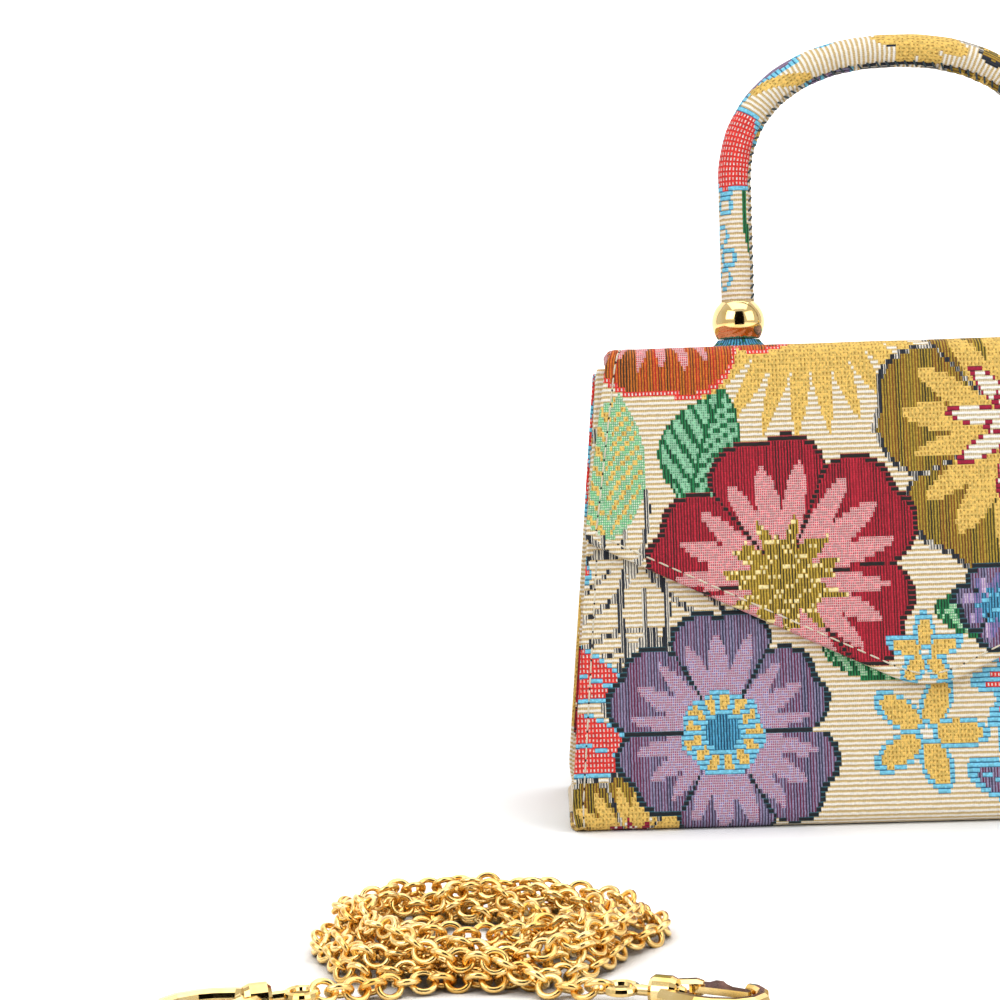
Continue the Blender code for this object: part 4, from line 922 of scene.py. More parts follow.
@dataclass(frozen=True)
class Tapestry:
    """Jacquard of mercerised cotton on a fine warp: thick weft ribs, warp lines and small meshes, softly bloomed."""

    name: str = "cotton_jacquard_woven"
    rib_mm: float = 1.42
    warp_mm: float = 0.55
    line_mm: float = 0.84
    spot_mm: float = 1.04
    cell_mm: float = 0.71
    relief_mm: float = 0.36

    def steps(self) -> list[tuple]:
        """The thread pattern as steps of arithmetic: each names its result, its operation and its inputs."""
        return [
            ("ends", "MULTIPLY", "u", 1 / self.warp_mm),
            ("ribs", "MULTIPLY", "v", 1 / self.rib_mm),
            ("picks", "MULTIPLY", "ribs", 2.0),
            ("lines", "MULTIPLY", "u", 1 / self.line_mm),
            ("spots_across", "MULTIPLY", "u", 1 / self.spot_mm),
            # Each wave is 0 between two threads and 0.5 on a thread's crown.
            ("rib_wave", "PINGPONG", "ribs", 0.5),
            ("end_wave", "PINGPONG", "ends", 0.5),
            ("pick_wave", "PINGPONG", "picks", 0.5),
            ("line_wave", "PINGPONG", "lines", 0.5),
            ("spot_wave", "PINGPONG", "spots_across", 0.5),
            ("line_number", "FLOOR", "lines"),
            ("end_number", "FLOOR", "ends"),
            ("pick_number", "FLOOR", "picks"),
        ]

    def mixing(self) -> list[tuple]:
        """The steps that share the cloth between its three yarns, raise its threads and paint shade into the hollows
        between them; they know the noises too.
        """
        return [
            # Ground: the white weft rib, and between two ribs a band of the warp in small ticks.
            ("rib_share", "SMOOTHSTEP", "rib_wave", 0.19, 0.33, 0.96, 0.0),
            ("rib_third", "SMOOTHSTEP", "end_wave", 0.06, 0.26, 0.85, 0.0),
            # Warp lines: one of the two darker yarns comes up at every line pitch.
            ("line_sway", "MULTIPLY_ADD", "by_line", 0.5, -0.25),
            ("line_band", "SMOOTHSTEP", "line_wave", 0.18, 0.34, 1.0, 0.0),
            ("line_share", "ADD", "line_band", "line_sway"),
            ("line_third", "SMOOTHSTEP", "by_line_again", 0.45, 0.55, 0.0, 1.0),
            # Mesh: fine dots of the under yarn in a grid of the upper one.
            ("dot_across", "SMOOTHSTEP", "end_wave", 0.07, 0.24, 0.0, 1.0),
            ("dot_along", "SMOOTHSTEP", "pick_wave", 0.07, 0.23, 0.0, 1.0),
            ("dots", "MULTIPLY", "dot_across", "dot_along"),
            ("mesh_sway", "MULTIPLY_ADD", "by_crossing", 0.45, 0.75),
            ("mesh_share", "MULTIPLY", "dots", "mesh_sway"),
            # Dotted: one larger dot on each rib at every spot pitch.
            ("spot_across", "SMOOTHSTEP", "spot_wave", 0.24, 0.38, 0.0, 1.0),
            ("spot_along", "SMOOTHSTEP", "rib_wave", 0.16, 0.30, 0.0, 1.0),
            ("spots", "MULTIPLY", "spot_across", "spot_along"),
            ("spot_share", "MULTIPLY", "spots", "mesh_sway"),
            ("now_and_then", "SMOOTHSTEP", "by_crossing", 0.62, 0.74, 0.0, 1.0),
            # Float: one thick bar of the upper yarn on each rib.
            ("bar_share", "SMOOTHSTEP", "rib_wave", 0.07, 0.19, 1.0, 0.0),
            ("woven", "ADD", "rib", "line"),
            ("meshed", "ADD", "mesh", "dot"),
            ("covered", "ADD", "woven", "meshed"),
            ("bar", "SUBTRACT", 1.0, "covered"),
            ("share_1", "MULTIPLY", "rib", "rib_share"),
            ("share_2", "MULTIPLY_ADD", "line", "line_share", "share_1"),
            ("share_3", "MULTIPLY_ADD", "mesh", "mesh_share", "share_2"),
            ("share_4", "MULTIPLY_ADD", "dot", "spot_share", "share_3"),
            ("share", "MULTIPLY_ADD", "bar", "bar_share", "share_4"),
            ("third_1", "MULTIPLY", "rib", "rib_third"),
            ("third_2", "MULTIPLY_ADD", "line", "line_third", "third_1"),
            ("third", "MULTIPLY_ADD", "meshed", "now_and_then", "third_2"),
            # Height of the threads, which also paints shade into the hollows between them and a faint painted highlight
            # on their crowns.
            ("crown", "SMOOTHSTEP", "rib_wave", 0.04, 0.36, 0.0, 1.0),
            ("fine", "SMOOTHSTEP", "end_wave", 0.0, 0.45, 0.0, 1.0),
            ("step", "SMOOTHSTEP", "pick_wave", 0.0, 0.42, 0.0, 1.0),
            ("thick", "ADD", "rib", "bar"),
            ("high_1", "MULTIPLY", "thick", "crown"),
            ("line_step", "MULTIPLY", "step", 0.25),
            ("line_high", "MULTIPLY_ADD", "fine", 0.5, "line_step"),
            ("high_2", "MULTIPLY_ADD", "line", "line_high", "high_1"),
            ("crossed", "MULTIPLY", "fine", "step"),
            ("mesh_high", "MULTIPLY_ADD", "crossed", 0.6, 0.2),
            ("high", "MULTIPLY_ADD", "meshed", "mesh_high", "high_2"),
            ("grain_width", "MULTIPLY_ADD", "rib", -0.26, 0.40),
            ("off_middle", "SUBTRACT", "by_crossing", 0.5),
            ("grain", "MULTIPLY_ADD", "off_middle", "grain_width", 1.0),
            ("painted_hollow_shade", "SMOOTHSTEP", "high", 0.0, 0.7, 0.93, 1.03),
            ("soft", "SMOOTHSTEP", "fuzz", 0.2, 0.8, 0.90, 1.08),
            ("shade_1", "MULTIPLY", "painted_hollow_shade", "grain"),
            ("shade", "MULTIPLY", "shade_1", "soft"),
            ("relief", "MULTIPLY_ADD", "fuzz", 0.16, "high"),
        ]

    @staticmethod
    def work_out(tree: bpy.types.NodeTree, known: dict[str, bpy.types.NodeSocket], steps: Sequence[tuple]) -> None:
        """Adds the nodes for some steps of arithmetic, and each step's result to what is known."""
        for name, operation, *given in steps:
            inputs = {i: known[x] if isinstance(x, str) else x for i, x in enumerate(given)}
            if operation == "SMOOTHSTEP":
                known[name] = wire(tree, "MapRange", inputs, interpolation_type=operation)
            else:
                known[name] = wire(tree, "Math", inputs, operation=operation)

    def material(self) -> bpy.types.Material:
        """Makes the cloth: its yarn colours and bindings come from each cell of the weave, its threads from the shader."""
        made, tree = blank_material(self.name)
        flat = wire(tree, "UVMap", uv_map="weave_mm")
        wobble = wire(tree, "TexNoise", {"Vector": flat, "Scale": 0.6, "Detail": 0.0}, "Color", noise_dimensions="2D")
        shift = wire(tree, "VectorMath", {0: wobble, 1: (0.5, 0.5, 0.5)}, operation="SUBTRACT")
        bent = wire(tree, "VectorMath", {0: shift, 1: (0.18, 0.20, 0.0), 2: flat}, operation="MULTIPLY_ADD")
        known = {"u": wire(tree, "SeparateXYZ", {0: bent}, "X"), "v": tree.nodes[-1].outputs["Y"]}
        self.work_out(tree, known, self.steps())
        # No two warp ends are dyed alike, and no two crossings show quite as much of one.
        crossing = wire(tree, "CombineXYZ", {0: known["end_number"], 1: known["pick_number"]})
        known["by_line"] = wire(tree, "TexWhiteNoise", {"W": known["line_number"]}, noise_dimensions="1D")
        known["by_line_again"] = wire(tree, "TexWhiteNoise", {"Vector": wire(tree, "CombineXYZ", {0: known["line_number"], 1: 7.5})}, noise_dimensions="2D")
        known["by_crossing"] = wire(tree, "TexWhiteNoise", {"Vector": crossing}, noise_dimensions="2D")
        fibres = wire(tree, "VectorMath", {0: flat, 1: (1.6, 5.5, 1.0)}, operation="MULTIPLY")
        known["fuzz"] = wire(tree, "TexNoise", {"Vector": fibres, "Scale": 1.0, "Detail": 1.0}, noise_dimensions="2D")
        binding = wire(tree, "Attribute", output="Color", attribute_name="binding", attribute_type="GEOMETRY")
        known["dot"] = tree.nodes[-1].outputs["Alpha"]
        known["rib"] = wire(tree, "SeparateColor", {0: binding}, 0)
        known["line"], known["mesh"] = tree.nodes[-1].outputs[1], tree.nodes[-1].outputs[2]
        self.work_out(tree, known, self.mixing())
        top, under, third = (wire(tree, "Attribute", output="Color", attribute_name=f"yarn_{x}", attribute_type="GEOMETRY") for x in ("top", "under", "third"))
        darker = wire(tree, "Mix", {0: known["third"], 6: under, 7: third}, 2, data_type="RGBA", clamp_factor=True)
        yarns = wire(tree, "Mix", {0: known["share"], 6: top, 7: darker}, 2, data_type="RGBA", clamp_factor=True)
        # The yarns are multiplied by painted shade in the thread hollows, a faint painted highlight on the crowns, and
        # a random tone per crossing and per fibre.
        colour = wire(tree, "Mix", {0: 1.0, 6: yarns, 7: known["shade"]}, 2, data_type="RGBA", blend_type="MULTIPLY")
        bump = wire(tree, "Bump", {"Strength": 0.55, "Distance": self.relief_mm * MM, "Height": known["relief"]})
        shader = wire(
            tree,
            "BsdfPrincipled",
            {"Base Color": colour, "Roughness": 0.72, "Specular IOR Level": 0.35, "Sheen Weight": 0.12, "Sheen Roughness": 0.4, "Normal": bump},
        )
        finish_surface(tree, shader)
        return made


TAPESTRY = Tapestry()


def yarn_tables() -> dict[str, np.ndarray]:
    """For each yarn in order: its three colours and its binding shares, by the names that the material reads."""
    tables = {f"yarn_{x}": np.array([linear(getattr(y.value, x)) for y in YARNS]) for x in ("top", "under", "third")}
    tables["binding"] = np.array([(y.value.rib, y.value.line, y.value.mesh, y.value.dot) for y in YARNS])
    return tables


def weave(item: bpy.types.Object, flat: np.ndarray, centres: np.ndarray, motifs: Sequence[Motif]) -> None:
    """Writes the tapestry's pattern onto a piece.

    Args:
        item: the piece.
        flat: each point's place in the uncut cloth, in millimetres.
        centres: each face's place there.
        motifs: what is woven into this cut of the cloth, from the lowest to the topmost.
    """
    data = item.data
    cell, rib = TAPESTRY.cell_mm, TAPESTRY.rib_mm
    u = (np.floor(centres[:, 0] / cell) + 0.5) * cell
    v = (np.floor(centres[:, 1] / rib) + 0.5) * rib
    codes = np.zeros(len(centres), int)
    for motif in motifs:
        motif.paint(u, v, codes)
    for name, table in yarn_tables().items():
        data.attributes.new(name, "FLOAT_COLOR", "FACE").data.foreach_set("color", table[codes].astype(np.float32).ravel())
    loops = np.empty(len(data.loops), np.int32)
    data.loops.foreach_get("vertex_index", loops)
    data.uv_layers.new(name="weave_mm").data.foreach_set("uv", flat[loops].astype(np.float32).ravel())


# ---------------------------------------------------------------- surfaces


class Ruled:
    """A surface that runs straight across the bag: a section in (y, z), v being measured along it and u across."""

    def __init__(self, section: np.ndarray, start: float, pinches: Sequence[tuple[float, float, float]] = ()) -> None:
        """Takes the section and where soft corners are drawn in.

        Args:
            section: the section's points in order.
            start: the value of v at its first point.
            pinches: for each pair of soft corners the value of v, half the width there and how far they are drawn in.
        """
        self.pinches = pinches
        self.section = even_line(np.asarray(section, float), 0.25)
        self.v = start + run_along(self.section)
        self.slope = np.gradient(self.section, self.v, axis=0)

    def __call__(self, u: np.ndarray, v: np.ndarray) -> tuple[np.ndarray, np.ndarray, np.ndarray]:
        """Points, and directions across and along the surface, for places in the cloth."""
        y, z = (np.interp(v, self.v, self.section[:, k]) for k in (0, 1))
        dy, dz = (np.interp(v, self.v, self.slope[:, k]) for k in (0, 1))
        zero = np.zeros_like(y)
        length = np.hypot(dy, dz)
        x = np.array(u, float)
        for middle, half, amount in self.pinches:
            edge = np.clip(1 - (half - np.abs(u)) / 9, 0, 1.2)
            x = x - np.sign(u) * amount * edge**2 * np.exp(-(((v - middle) / 4.5) ** 2))
        return np.stack([x, y, z], 1), np.stack([zero + 1, zero, zero], 1), np.stack([zero, dy / length, dz / length], 1)


@dataclass
class Hem:
    """How a panel's edge is turned in: the radius of its two bends, its depth at a place, and how far it goes in."""

    radius: float
    depth: Callable[[np.ndarray], np.ndarray]
    turn_in: float = 3.0
    lead: float = 0.6

    def profile(self, depth: float) -> np.ndarray:
        """Rows of (distance along the cloth, outwards, inwards) from the start of the bend."""
        r = min(self.radius, depth * 0.48)
        rows = [(-self.lead, -self.lead, 0.0), (0.0, 0.0, 0.0)]
        bend = np.radians([22.5, 45, 67.5, 90])
        for a in bend:
            rows.append((r * a, r * math.sin(a), r - r * math.cos(a)))
        wall = depth - 2 * r
        run = r * math.pi / 2 + wall
        rows.append((run, r, r + wall))
        for a in bend:
            rows.append((run + r * a, r * math.cos(a), r + wall + r * math.sin(a)))
        run += r * math.pi / 2
        for share in (0.5, 1.0):
            rows.append((run + self.turn_in * share, -self.turn_in * share, depth - 0.12 * share))
        return np.array(rows)


def half_planes(outline: np.ndarray) -> tuple[np.ndarray, np.ndarray]:
    """The outward normals of a convex outline's sides, and each side's distance from the origin along its normal."""
    ahead = np.roll(outline, -1, 0) - outline
    normal = units(np.stack([ahead[:, 1], -ahead[:, 0]], 1))
    return normal, (normal * outline).sum(1)


def inset_outline(outline: np.ndarray, distance: float) -> np.ndarray:
    """A convex outline moved inwards by a distance; its corners keep their order."""
    normal, reach = half_planes(outline)
    reach = reach - distance
    made = []
    for i in range(len(outline)):
        a, b = normal[i - 1], normal[i]
        made.append(np.linalg.solve(np.array([a, b]), np.array([reach[i - 1], reach[i]])))
    return np.array(made)


def open_corners(outline: np.ndarray) -> list[tuple[int, int]]:
    """The pairs of neighbouring sides that meet in a corner which points inwards."""
    normal, _ = half_planes(outline)
    count = len(outline)
    return [((i - 1) % count, i) for i in range(count) if np.cross(normal[i - 1], normal[i]) < -1e-9]


def room_inside(outline: np.ndarray, u: np.ndarray, v: np.ndarray) -> np.ndarray:
    """How far places lie inside an outline, negative outside it."""
    normal, reach = half_planes(outline)
    room = reach - (u[..., None] * normal[:, 0] + v[..., None] * normal[:, 1])
    for a, b in open_corners(outline):
        both = np.maximum(room[..., a], room[..., b])
        room[..., a], room[..., b] = both, both
    return room.min(-1)


def clip_cell(cell: list[tuple[float, float]], normal: np.ndarray, reach: np.ndarray) -> list[tuple[float, float]]:
    """The part of one cell of the weave that lies inside a convex outline."""
    for (nx, ny), c in zip(normal, reach):
        kept = []
        for i, b in enumerate(cell):
            a = cell[i - 1]
            da, db = nx * a[0] + ny * a[1] - c, nx * b[0] + ny * b[1] - c
            if (da <= 0) != (db <= 0):
                t = da / (da - db)
                kept.append((a[0] + (b[0] - a[0]) * t, a[1] + (b[1] - a[1]) * t))
            if db <= 0:
                kept.append(b)
        cell = kept
        if len(cell) < 3:
            return []
    return cell


@dataclass
class Panel:
    """One cut piece of tapestry, with a turned hem all round, laid on a surface."""

    name: str
    body: str
    outline: np.ndarray
    surface: Placer
    hem: Hem
    motifs: Sequence[Motif]
    stitch_inset: float = 3.1
    groove: float = 0.26
    relief: float = 0.10
    extra: Callable[[np.ndarray, np.ndarray], np.ndarray] | None = None

    def lift(self, u: np.ndarray, v: np.ndarray) -> np.ndarray:
        """How far the cloth stands out: a groove at the stitches, a swell beside it and a slow unevenness."""
        inside = room_inside(self.outline, u, v)
        high = -self.groove * np.exp(-(((inside - self.stitch_inset) / 0.8) ** 2))
        high += 0.35 * self.groove * np.exp(-(((inside - self.stitch_inset - 2.4) / 1.3) ** 2))
        fade = np.clip(inside / 6, 0, 1)
        high += self.relief * fade * (np.sin(u * 0.071 + 1.1) * np.sin(v * 0.083 + 0.4) + 0.5 * np.sin(u * 0.19 + v * 0.05) * np.sin(v * 0.16 - u * 0.04))
        if self.extra is not None:
            high += self.extra(u, v)
        return high

    def place(self, u: np.ndarray, v: np.ndarray) -> np.ndarray:
        """Points of the outer face for places in the cloth."""
        points, across, along = self.surface(u, v)
        return points + np.cross(across, along) * self.lift(u, v)[:, None]

    def grid(self) -> tuple[np.ndarray, list[tuple[int, ...]], np.ndarray]:
        """The weave's cells inside the hem: their places in the cloth, their faces and the faces' middles."""
        inner = inset_outline(self.outline, self.hem.radius)
        normal, reach = half_planes(inner)
        cell, rib = TAPESTRY.cell_mm, TAPESTRY.rib_mm
        low, high = inner.min(0), inner.max(0)
        us = np.arange(math.floor(low[0] / cell), math.ceil(high[0] / cell) + 1) * cell
        vs = np.arange(math.floor(low[1] / rib), math.ceil(high[1] / rib) + 1) * rib
        gu, gv = np.meshgrid(us, vs)
        out = -room_inside(inner, gu, gv)
        pairs = open_corners(inner)
        numbers = np.full(gu.shape, -1)
        keep = out <= 0
        numbers[keep] = np.arange(keep.sum())
        places = list(zip(gu[keep], gv[keep]))
        full = keep[:-1, :-1] & keep[1:, :-1] & keep[:-1, 1:] & keep[1:, 1:]
        r, c = np.nonzero(full)
        faces = np.stack([numbers[r, c], numbers[r, c + 1], numbers[r + 1, c + 1], numbers[r + 1, c]], 1).tolist()
        middles = np.stack([us[c] + cell / 2, vs[r] + rib / 2], 1).tolist()
        near = np.minimum.reduce([out[:-1, :-1], out[1:, :-1], out[:-1, 1:], out[1:, 1:]]) < rib
        found: dict[tuple[int, int], int] = {}
        for r, c in zip(*np.nonzero(near & ~full)):
            corners = [(us[c], vs[r]), (us[c + 1], vs[r]), (us[c + 1], vs[r + 1]), (us[c], vs[r + 1])]
            known = dict(zip(corners, (numbers[r, c], numbers[r, c + 1], numbers[r + 1, c + 1], numbers[r + 1, c])))
            middle = np.array([us[c] + cell / 2, vs[r] + rib / 2])
            used = [i for i in range(len(reach)) if i not in {max(p, key=lambda k: normal[k] @ middle - reach[k]) for p in pairs}]
            part = clip_cell(corners, normal[used], reach[used])
            face = []
            for p in part:
                number = known.get(p, -1)
                if number < 0:
                    key = (round(p[0] * 1e3), round(p[1] * 1e3))
                    if key not in found:
                        found[key] = len(places)
                        places.append(p)
                    number = found[key]
                if number not in face:
                    face.append(int(number))
            if len(face) > 2:
                faces.append(face)
                middles.append([us[c] + cell / 2, vs[r] + rib / 2])
        return np.array(places), faces, np.array(middles)

    def rim(self) -> tuple[np.ndarray, np.ndarray, list[tuple[int, ...]], np.ndarray]:
        """The turned hem: its points in space, their places in the cloth, its faces and the faces' middles."""
        inner = inset_outline(self.outline, self.hem.radius)
        normal, _ = half_planes(inner)
        count = len(inner)
        base, outward = [], []
        for i in range(count):
            a, b = inner[i], inner[(i + 1) % count]
            steps = max(2, int(np.linalg.norm(b - a) / TAPESTRY.cell_mm))
            before = normal[i - 1]
            swing = math.acos(float(np.clip(before @ normal[i], -1, 1)))
            for k in range(1, max(1, int(swing / 0.25)) + 1):
                t = k / (max(1, int(swing / 0.25)) + 1)
                mixed = before * (1 - t) + normal[i] * t
                base.append(a)
                outward.append(mixed / np.linalg.norm(mixed))
            for k in range(steps):
                base.append(a + (b - a) * k / steps)
                outward.append(normal[i])
        base, outward = np.array(base), np.array(outward)
        depth = self.hem.depth(base[:, 1])
        rows = np.array([self.hem.profile(d) for d in depth])
        points, across, along = self.surface(base[:, 0], base[:, 1])
        out_way = outward[:, :1] * across + outward[:, 1:] * along
        up = np.cross(across, along)
        edge_lift = self.lift(*base.T)
        places, flats = [], []
        for k in range(rows.shape[1]):
            run, out, down = rows[:, k, 0], rows[:, k, 1], rows[:, k, 2]
            flat = base + outward * run[:, None]
            lift = edge_lift if k > 0 else self.lift(*flat.T)
            places.append(points + out_way * out[:, None] + up * (lift - down)[:, None])
            flats.append(flat)
        faces = quads(rows.shape[1], len(base), round_wide=True, flipped=True)
        here = np.array(flats)
        beside = np.roll(here, -1, 1)
        middles = (here[:-1] + here[1:] + beside[1:] + beside[:-1]) / 4
        return np.concatenate(places), np.concatenate(flats), faces, middles.reshape(-1, 2)

    def build(self, look: bpy.types.Material) -> bpy.types.Object:
        """Makes the panel and weaves its pattern."""
        flat, faces, middles = self.grid()
        points = self.place(flat[:, 0], flat[:, 1])
        rim_points, rim_flat, rim_faces, rim_middles = self.rim()
        start = len(points)
        faces = faces + [tuple(i + start for i in f) for f in rim_faces]
        made = new_piece(self.name, np.concatenate([points, rim_points]), faces, look, self.body)
        weave(made, np.concatenate([flat, rim_flat]), np.concatenate([middles, rim_middles]), self.motifs)
        return made

    def face(self, places: np.ndarray) -> tuple[np.ndarray, np.ndarray]:
        """Points of the outer face for rows of places in the cloth, and the outward normals there."""
        _, across, along = self.surface(places[:, 0], places[:, 1])
        return self.place(places[:, 0], places[:, 1]), np.cross(across, along)

    def seam(self, corners: Sequence[int]) -> np.ndarray:
        """The stitch line beside the sides between some of the outline's corners, as places in the cloth."""
        line = inset_outline(self.outline, self.stitch_inset)
        return np.array([line[i % len(line)] for i in corners])


# ---------------------------------------------------------------- the bag


@dataclass(frozen=True)
class BagShape:
    """Sizes that the bag's pieces share."""

    width: float = 207.0
    rim_width: float = 183.4
    depth: float = 72.0
    rim_depth: float = 42.0
    height: float = 133.0
    corner: float = 4.0
    fabric: float = 0.9
    board: float = 1.6
    lining: float = 0.6
    flange: float = 6.0
    fold_depth: float = 15.7
    fold_flat: float = 12.0
    fold_height: float = 105.0
    fold_curve: float = 1.6
    flap_top_width: float = 176.4
    flap_width: float = 194.0
    flap_corner: float = 83.3
    flap_slope: float = 25.4
    tip_radius: float = 24.0
    flap_thickness: float = 2.9
    flap_clearance: float = 0.4
    top_thickness: float = 3.9
    underside: float = 134.55
    front_radius: float = 5.0
    handle_span: float = 95.8
    snap_height: float = 56.0

    @property
    def lean(self) -> float:
        """Angle of the front and back walls from upright."""
        return math.atan2((self.depth - self.rim_depth) / 2, self.height)

    @property
    def top(self) -> float:
        """Height of the bag's top."""
        return self.underside + self.top_thickness

    def half_width(self, z: float) -> float:
        """Half the front panel's width at a height."""
        return (self.width - (self.width - self.rim_width) * z / self.height) / 2

    def wall(self, z: float, inset: float = 0.0) -> float:
        """Distance of a layer of the front or back wall from the middle plane."""
        return self.depth / 2 - math.tan(self.lean) * z - inset / math.cos(self.lean)

    def wall_matrix(self, height: float) -> Matrix:
        """The matrix that turns Z to the front wall's outward normal, at a height on it."""
        normal = Vector((0, -math.cos(self.lean), math.sin(self.lean)))
        turn = Vector((0, 0, 1)).rotation_difference(normal).to_matrix().to_4x4()
        return Matrix.Translation((0, -self.wall(height), height)) @ turn


SHAPE = BagShape()

# What is woven into the cut of each panel; places are in the cloth, where v is the height on the front.
FLAP_MOTIFS: list[Motif] = [
    Burst((-30, 158), 50, 30, 0, Yarn.SUN),
    LinePetals((-88, 70), 30, 6, 20),
    Blossom((-73, 170), 48, 5, -90, Yarn.ORANGE, Yarn.ROSE, Yarn.CORAL, Yarn.SUN, Yarn.WINE, 0.2, 7),
    Leaf((-90, 84), 42, 24, 84, *GOLDEN_LEAF),
    Leaf((-66, 92), 36, 24, 72),
    Blossom((28, 112), 42, 5, 24, Yarn.OLIVE, Yarn.SUN, Yarn.SLATE, Yarn.SUN, Yarn.SUN, 0.3, 3),
    Star((30, 114), 19, 9, 10, Yarn.CREAM, Yarn.WINE, Yarn.WINE),
    Star((30, 114), 9, 7, 30, Yarn.CREAM, Yarn.WINE, Yarn.SUN),
    Blossom((-40, 71), 41, 6, 38, *CRIMSON_FLOWER, 0.33, 3),
    Leaf((2, 62), 26, 13, -20, *GREEN_LEAF),
    Blossom((20, 62), 12, 4, 10, Yarn.PURPLE, Yarn.MAUVE, Yarn.NAVY, Yarn.TEAL, Yarn.SKY, 0.4, 2),
    Star((-1, 49), 9, 5, 90),
    Blossom((84, 86), 25, 6, 5, *CORAL_FLOWER, 0.3, 3),
    Leaf((62, 70), 28, 13, -110, Yarn.LEAF, Yarn.PINE, Yarn.PINE),
    Star((88, 122), 13, 5, 40),
    Beads((56, 150), (5, 8), 5),
    Blossom((-20, 176), 26, 6, 12, *PURPLE_FLOWER, 0.3, 3, Yarn.SUN),
    LinePetals((40, 176), 30, 7, 0),
    Leaf((-60, 168), 34, 18, 30),
    Blossom((78, 178), 26, 5, 70, *CRIMSON_FLOWER, 0.33, 3),
    Blossom((-80, 196), 22, 5, 0, *OLIVE_FLOWER, 0.3, 3),
]
WRAP_MOTIFS: list[Motif] = [
    LinePetals((-80, 82), 34, 7, 12),
    LinePetals((-76, 56), 26, 5, 200, 180),
    LinePetals((52, 66), 30, 7, 0),
    Leaf((-122, 48), 40, 17, -14, *CORAL_LEAF),
    Leaf((-122, 27), 44, 19, -12, *CORAL_LEAF),
    Leaf((-116, 84), 24, 15, -30, *CORAL_LEAF),
    Blossom((-86, -6), 26, 6, 20, *OLIVE_FLOWER, 0.3, 3),
    LinePetals((34, 6), 24, 5, 14, 180, Yarn.SKY, Yarn.PURPLE),
    Leaf((-30, 52), 26, 13, -24, *GREEN_LEAF),
    Blossom((-59, 27.5), 34, 6, 30, *PURPLE_FLOWER, 0.35, 3, Yarn.SUN),
    Star((-1, 26), 15, 5, 70),
    Beads((20, 52), (2, -7), 4),
    LinePetals((30, 40), 16, 4, 90, 180, Yarn.SKY, Yarn.CORAL),
    Star((30, 60), 10, 5, 10),
    Blossom((72, 34), 31, 5, 50, *CRIMSON_FLOWER, 0.33, 3),
    Leaf((92, 66), 34, 17, 96, *GOLDEN_LEAF),
    Burst((10, 96), 26, 9, 0, Yarn.SUN),
    Leaf((-20, -30), 34, 18, -100),
    Blossom((24, -46), 30, 6, 0, *CORAL_FLOWER, 0.3, 3),
    Star((84, -40), 15, 5, 30),
    Beads((-60, -52), (6, -5), 5),
    Burst((-92, -104), 30, 9, 20, Yarn.SUN),
    LinePetals((70, -96), 32, 7, 40),
    Leaf((-40, -84), 36, 20, -60),
    Blossom((-50, -132), 36, 6, 20, *CRIMSON_FLOWER, 0.33, 3),
    Blossom((34, -108), 34, 5, 60, *OLIVE_FLOWER, 0.34, 3),
    Leaf((62, -138), 34, 18, -70, *GOLDEN_LEAF),
    Blossom((26, -170), 30, 6, 40, *PURPLE_FLOWER, 0.3, 3, Yarn.SUN),
    Star((84, -164), 14, 5, 0),
    Star((-8, -200), 13, 5, 0),
    LinePetals((-84, -184), 28, 6, 0, 360, Yarn.SKY, Yarn.CORAL),
]
SIDE_MOTIFS: list[Motif] = [
    LinePetals((-10, 110), 24, 6, 0),
    Blossom((16, 34), 24, 6, 10, *CRIMSON_FLOWER, 0.33, 3),
    Leaf((-30, 44), 34, 18, 60),
    Star((-22, 22), 13, 5, 20),
    Blossom((-16, 84), 22, 5, 60, *OLIVE_FLOWER, 0.34, 3),
    Leaf((4, 62), 34, 16, 50, *GOLDEN_LEAF),
    Star((18, 112), 12, 5, 0),
]


@dataclass
class Stitching:
    """Rows of lockstitch: each stitch is a short plied thread that dips into its needle holes."""

    thread: bpy.types.Material
    hole: bpy.types.Material
    pitch: float = 4.1
    diameter: float = 0.5
    gap: float = 0.7

    def row(self, name: str, line: np.ndarray, face: Callable[[np.ndarray], tuple[np.ndarray, np.ndarray]], body: str) -> bpy.types.Object:
        """Sews one row.

        Args:
            name: the row's name.
            line: places along the row.
            face: turns places into points on the cloth and the cloth's outward normals there.
            body: the body that the row moves with.

        Returns:
            The row's stitches as one piece, its needle holes parented to it.
        """
        line = even_line(np.asarray(line, float), 0.3)
        run = run_along(line)
        count = max(1, int(round(run[-1] / self.pitch)))
        pitch = run[-1] / count
        arch = np.array([-0.22, 0.06, 0.18, 0.21, 0.18, 0.06, -0.22])
        radii = self.diameter / 2 * np.array([0.7, 0.95, 1, 1, 1, 0.95, 0.7])
        form, dots = Form(), Form()
        for i in range(count):
            marks = np.linspace(i * pitch + self.gap / 2, (i + 1) * pitch - self.gap / 2, 7)
            points, normals = face(places_at(marks, run, line))
            sway = 0.05 * math.sin(2.7 * i)
            form.tube(points + normals * (arch + sway)[:, None], radii, 8, up=tuple(normals[3]))
            spot, normal = face(places_at([i * pitch], run, line))
            self.dot(dots, spot[0], normal[0])
        made = form.piece(name, self.thread, body)
        # Each needle hole is a dark lens of painted shadow.
        dots.piece(name + "_holes", self.hole, "").parent = made
        return made

    @staticmethod
    def dot(dots: Form, spot: np.ndarray, normal: np.ndarray) -> None:
        """Adds one needle hole: a small lens lying in the cloth, dark with the painted shadow inside the hole."""
        turn = Vector((0, 0, 1)).rotation_difference(Vector(normal)).to_matrix()
        lens = Form()
        lens.lathe([(0.0, 0.10), (0.26, 0.07), (0.42, -0.04), (0.3, -0.3), (0.0, -0.34)], 10)
        points = np.concatenate(lens.points) @ np.array(turn).T + spot
        dots.add(points, lens.faces)


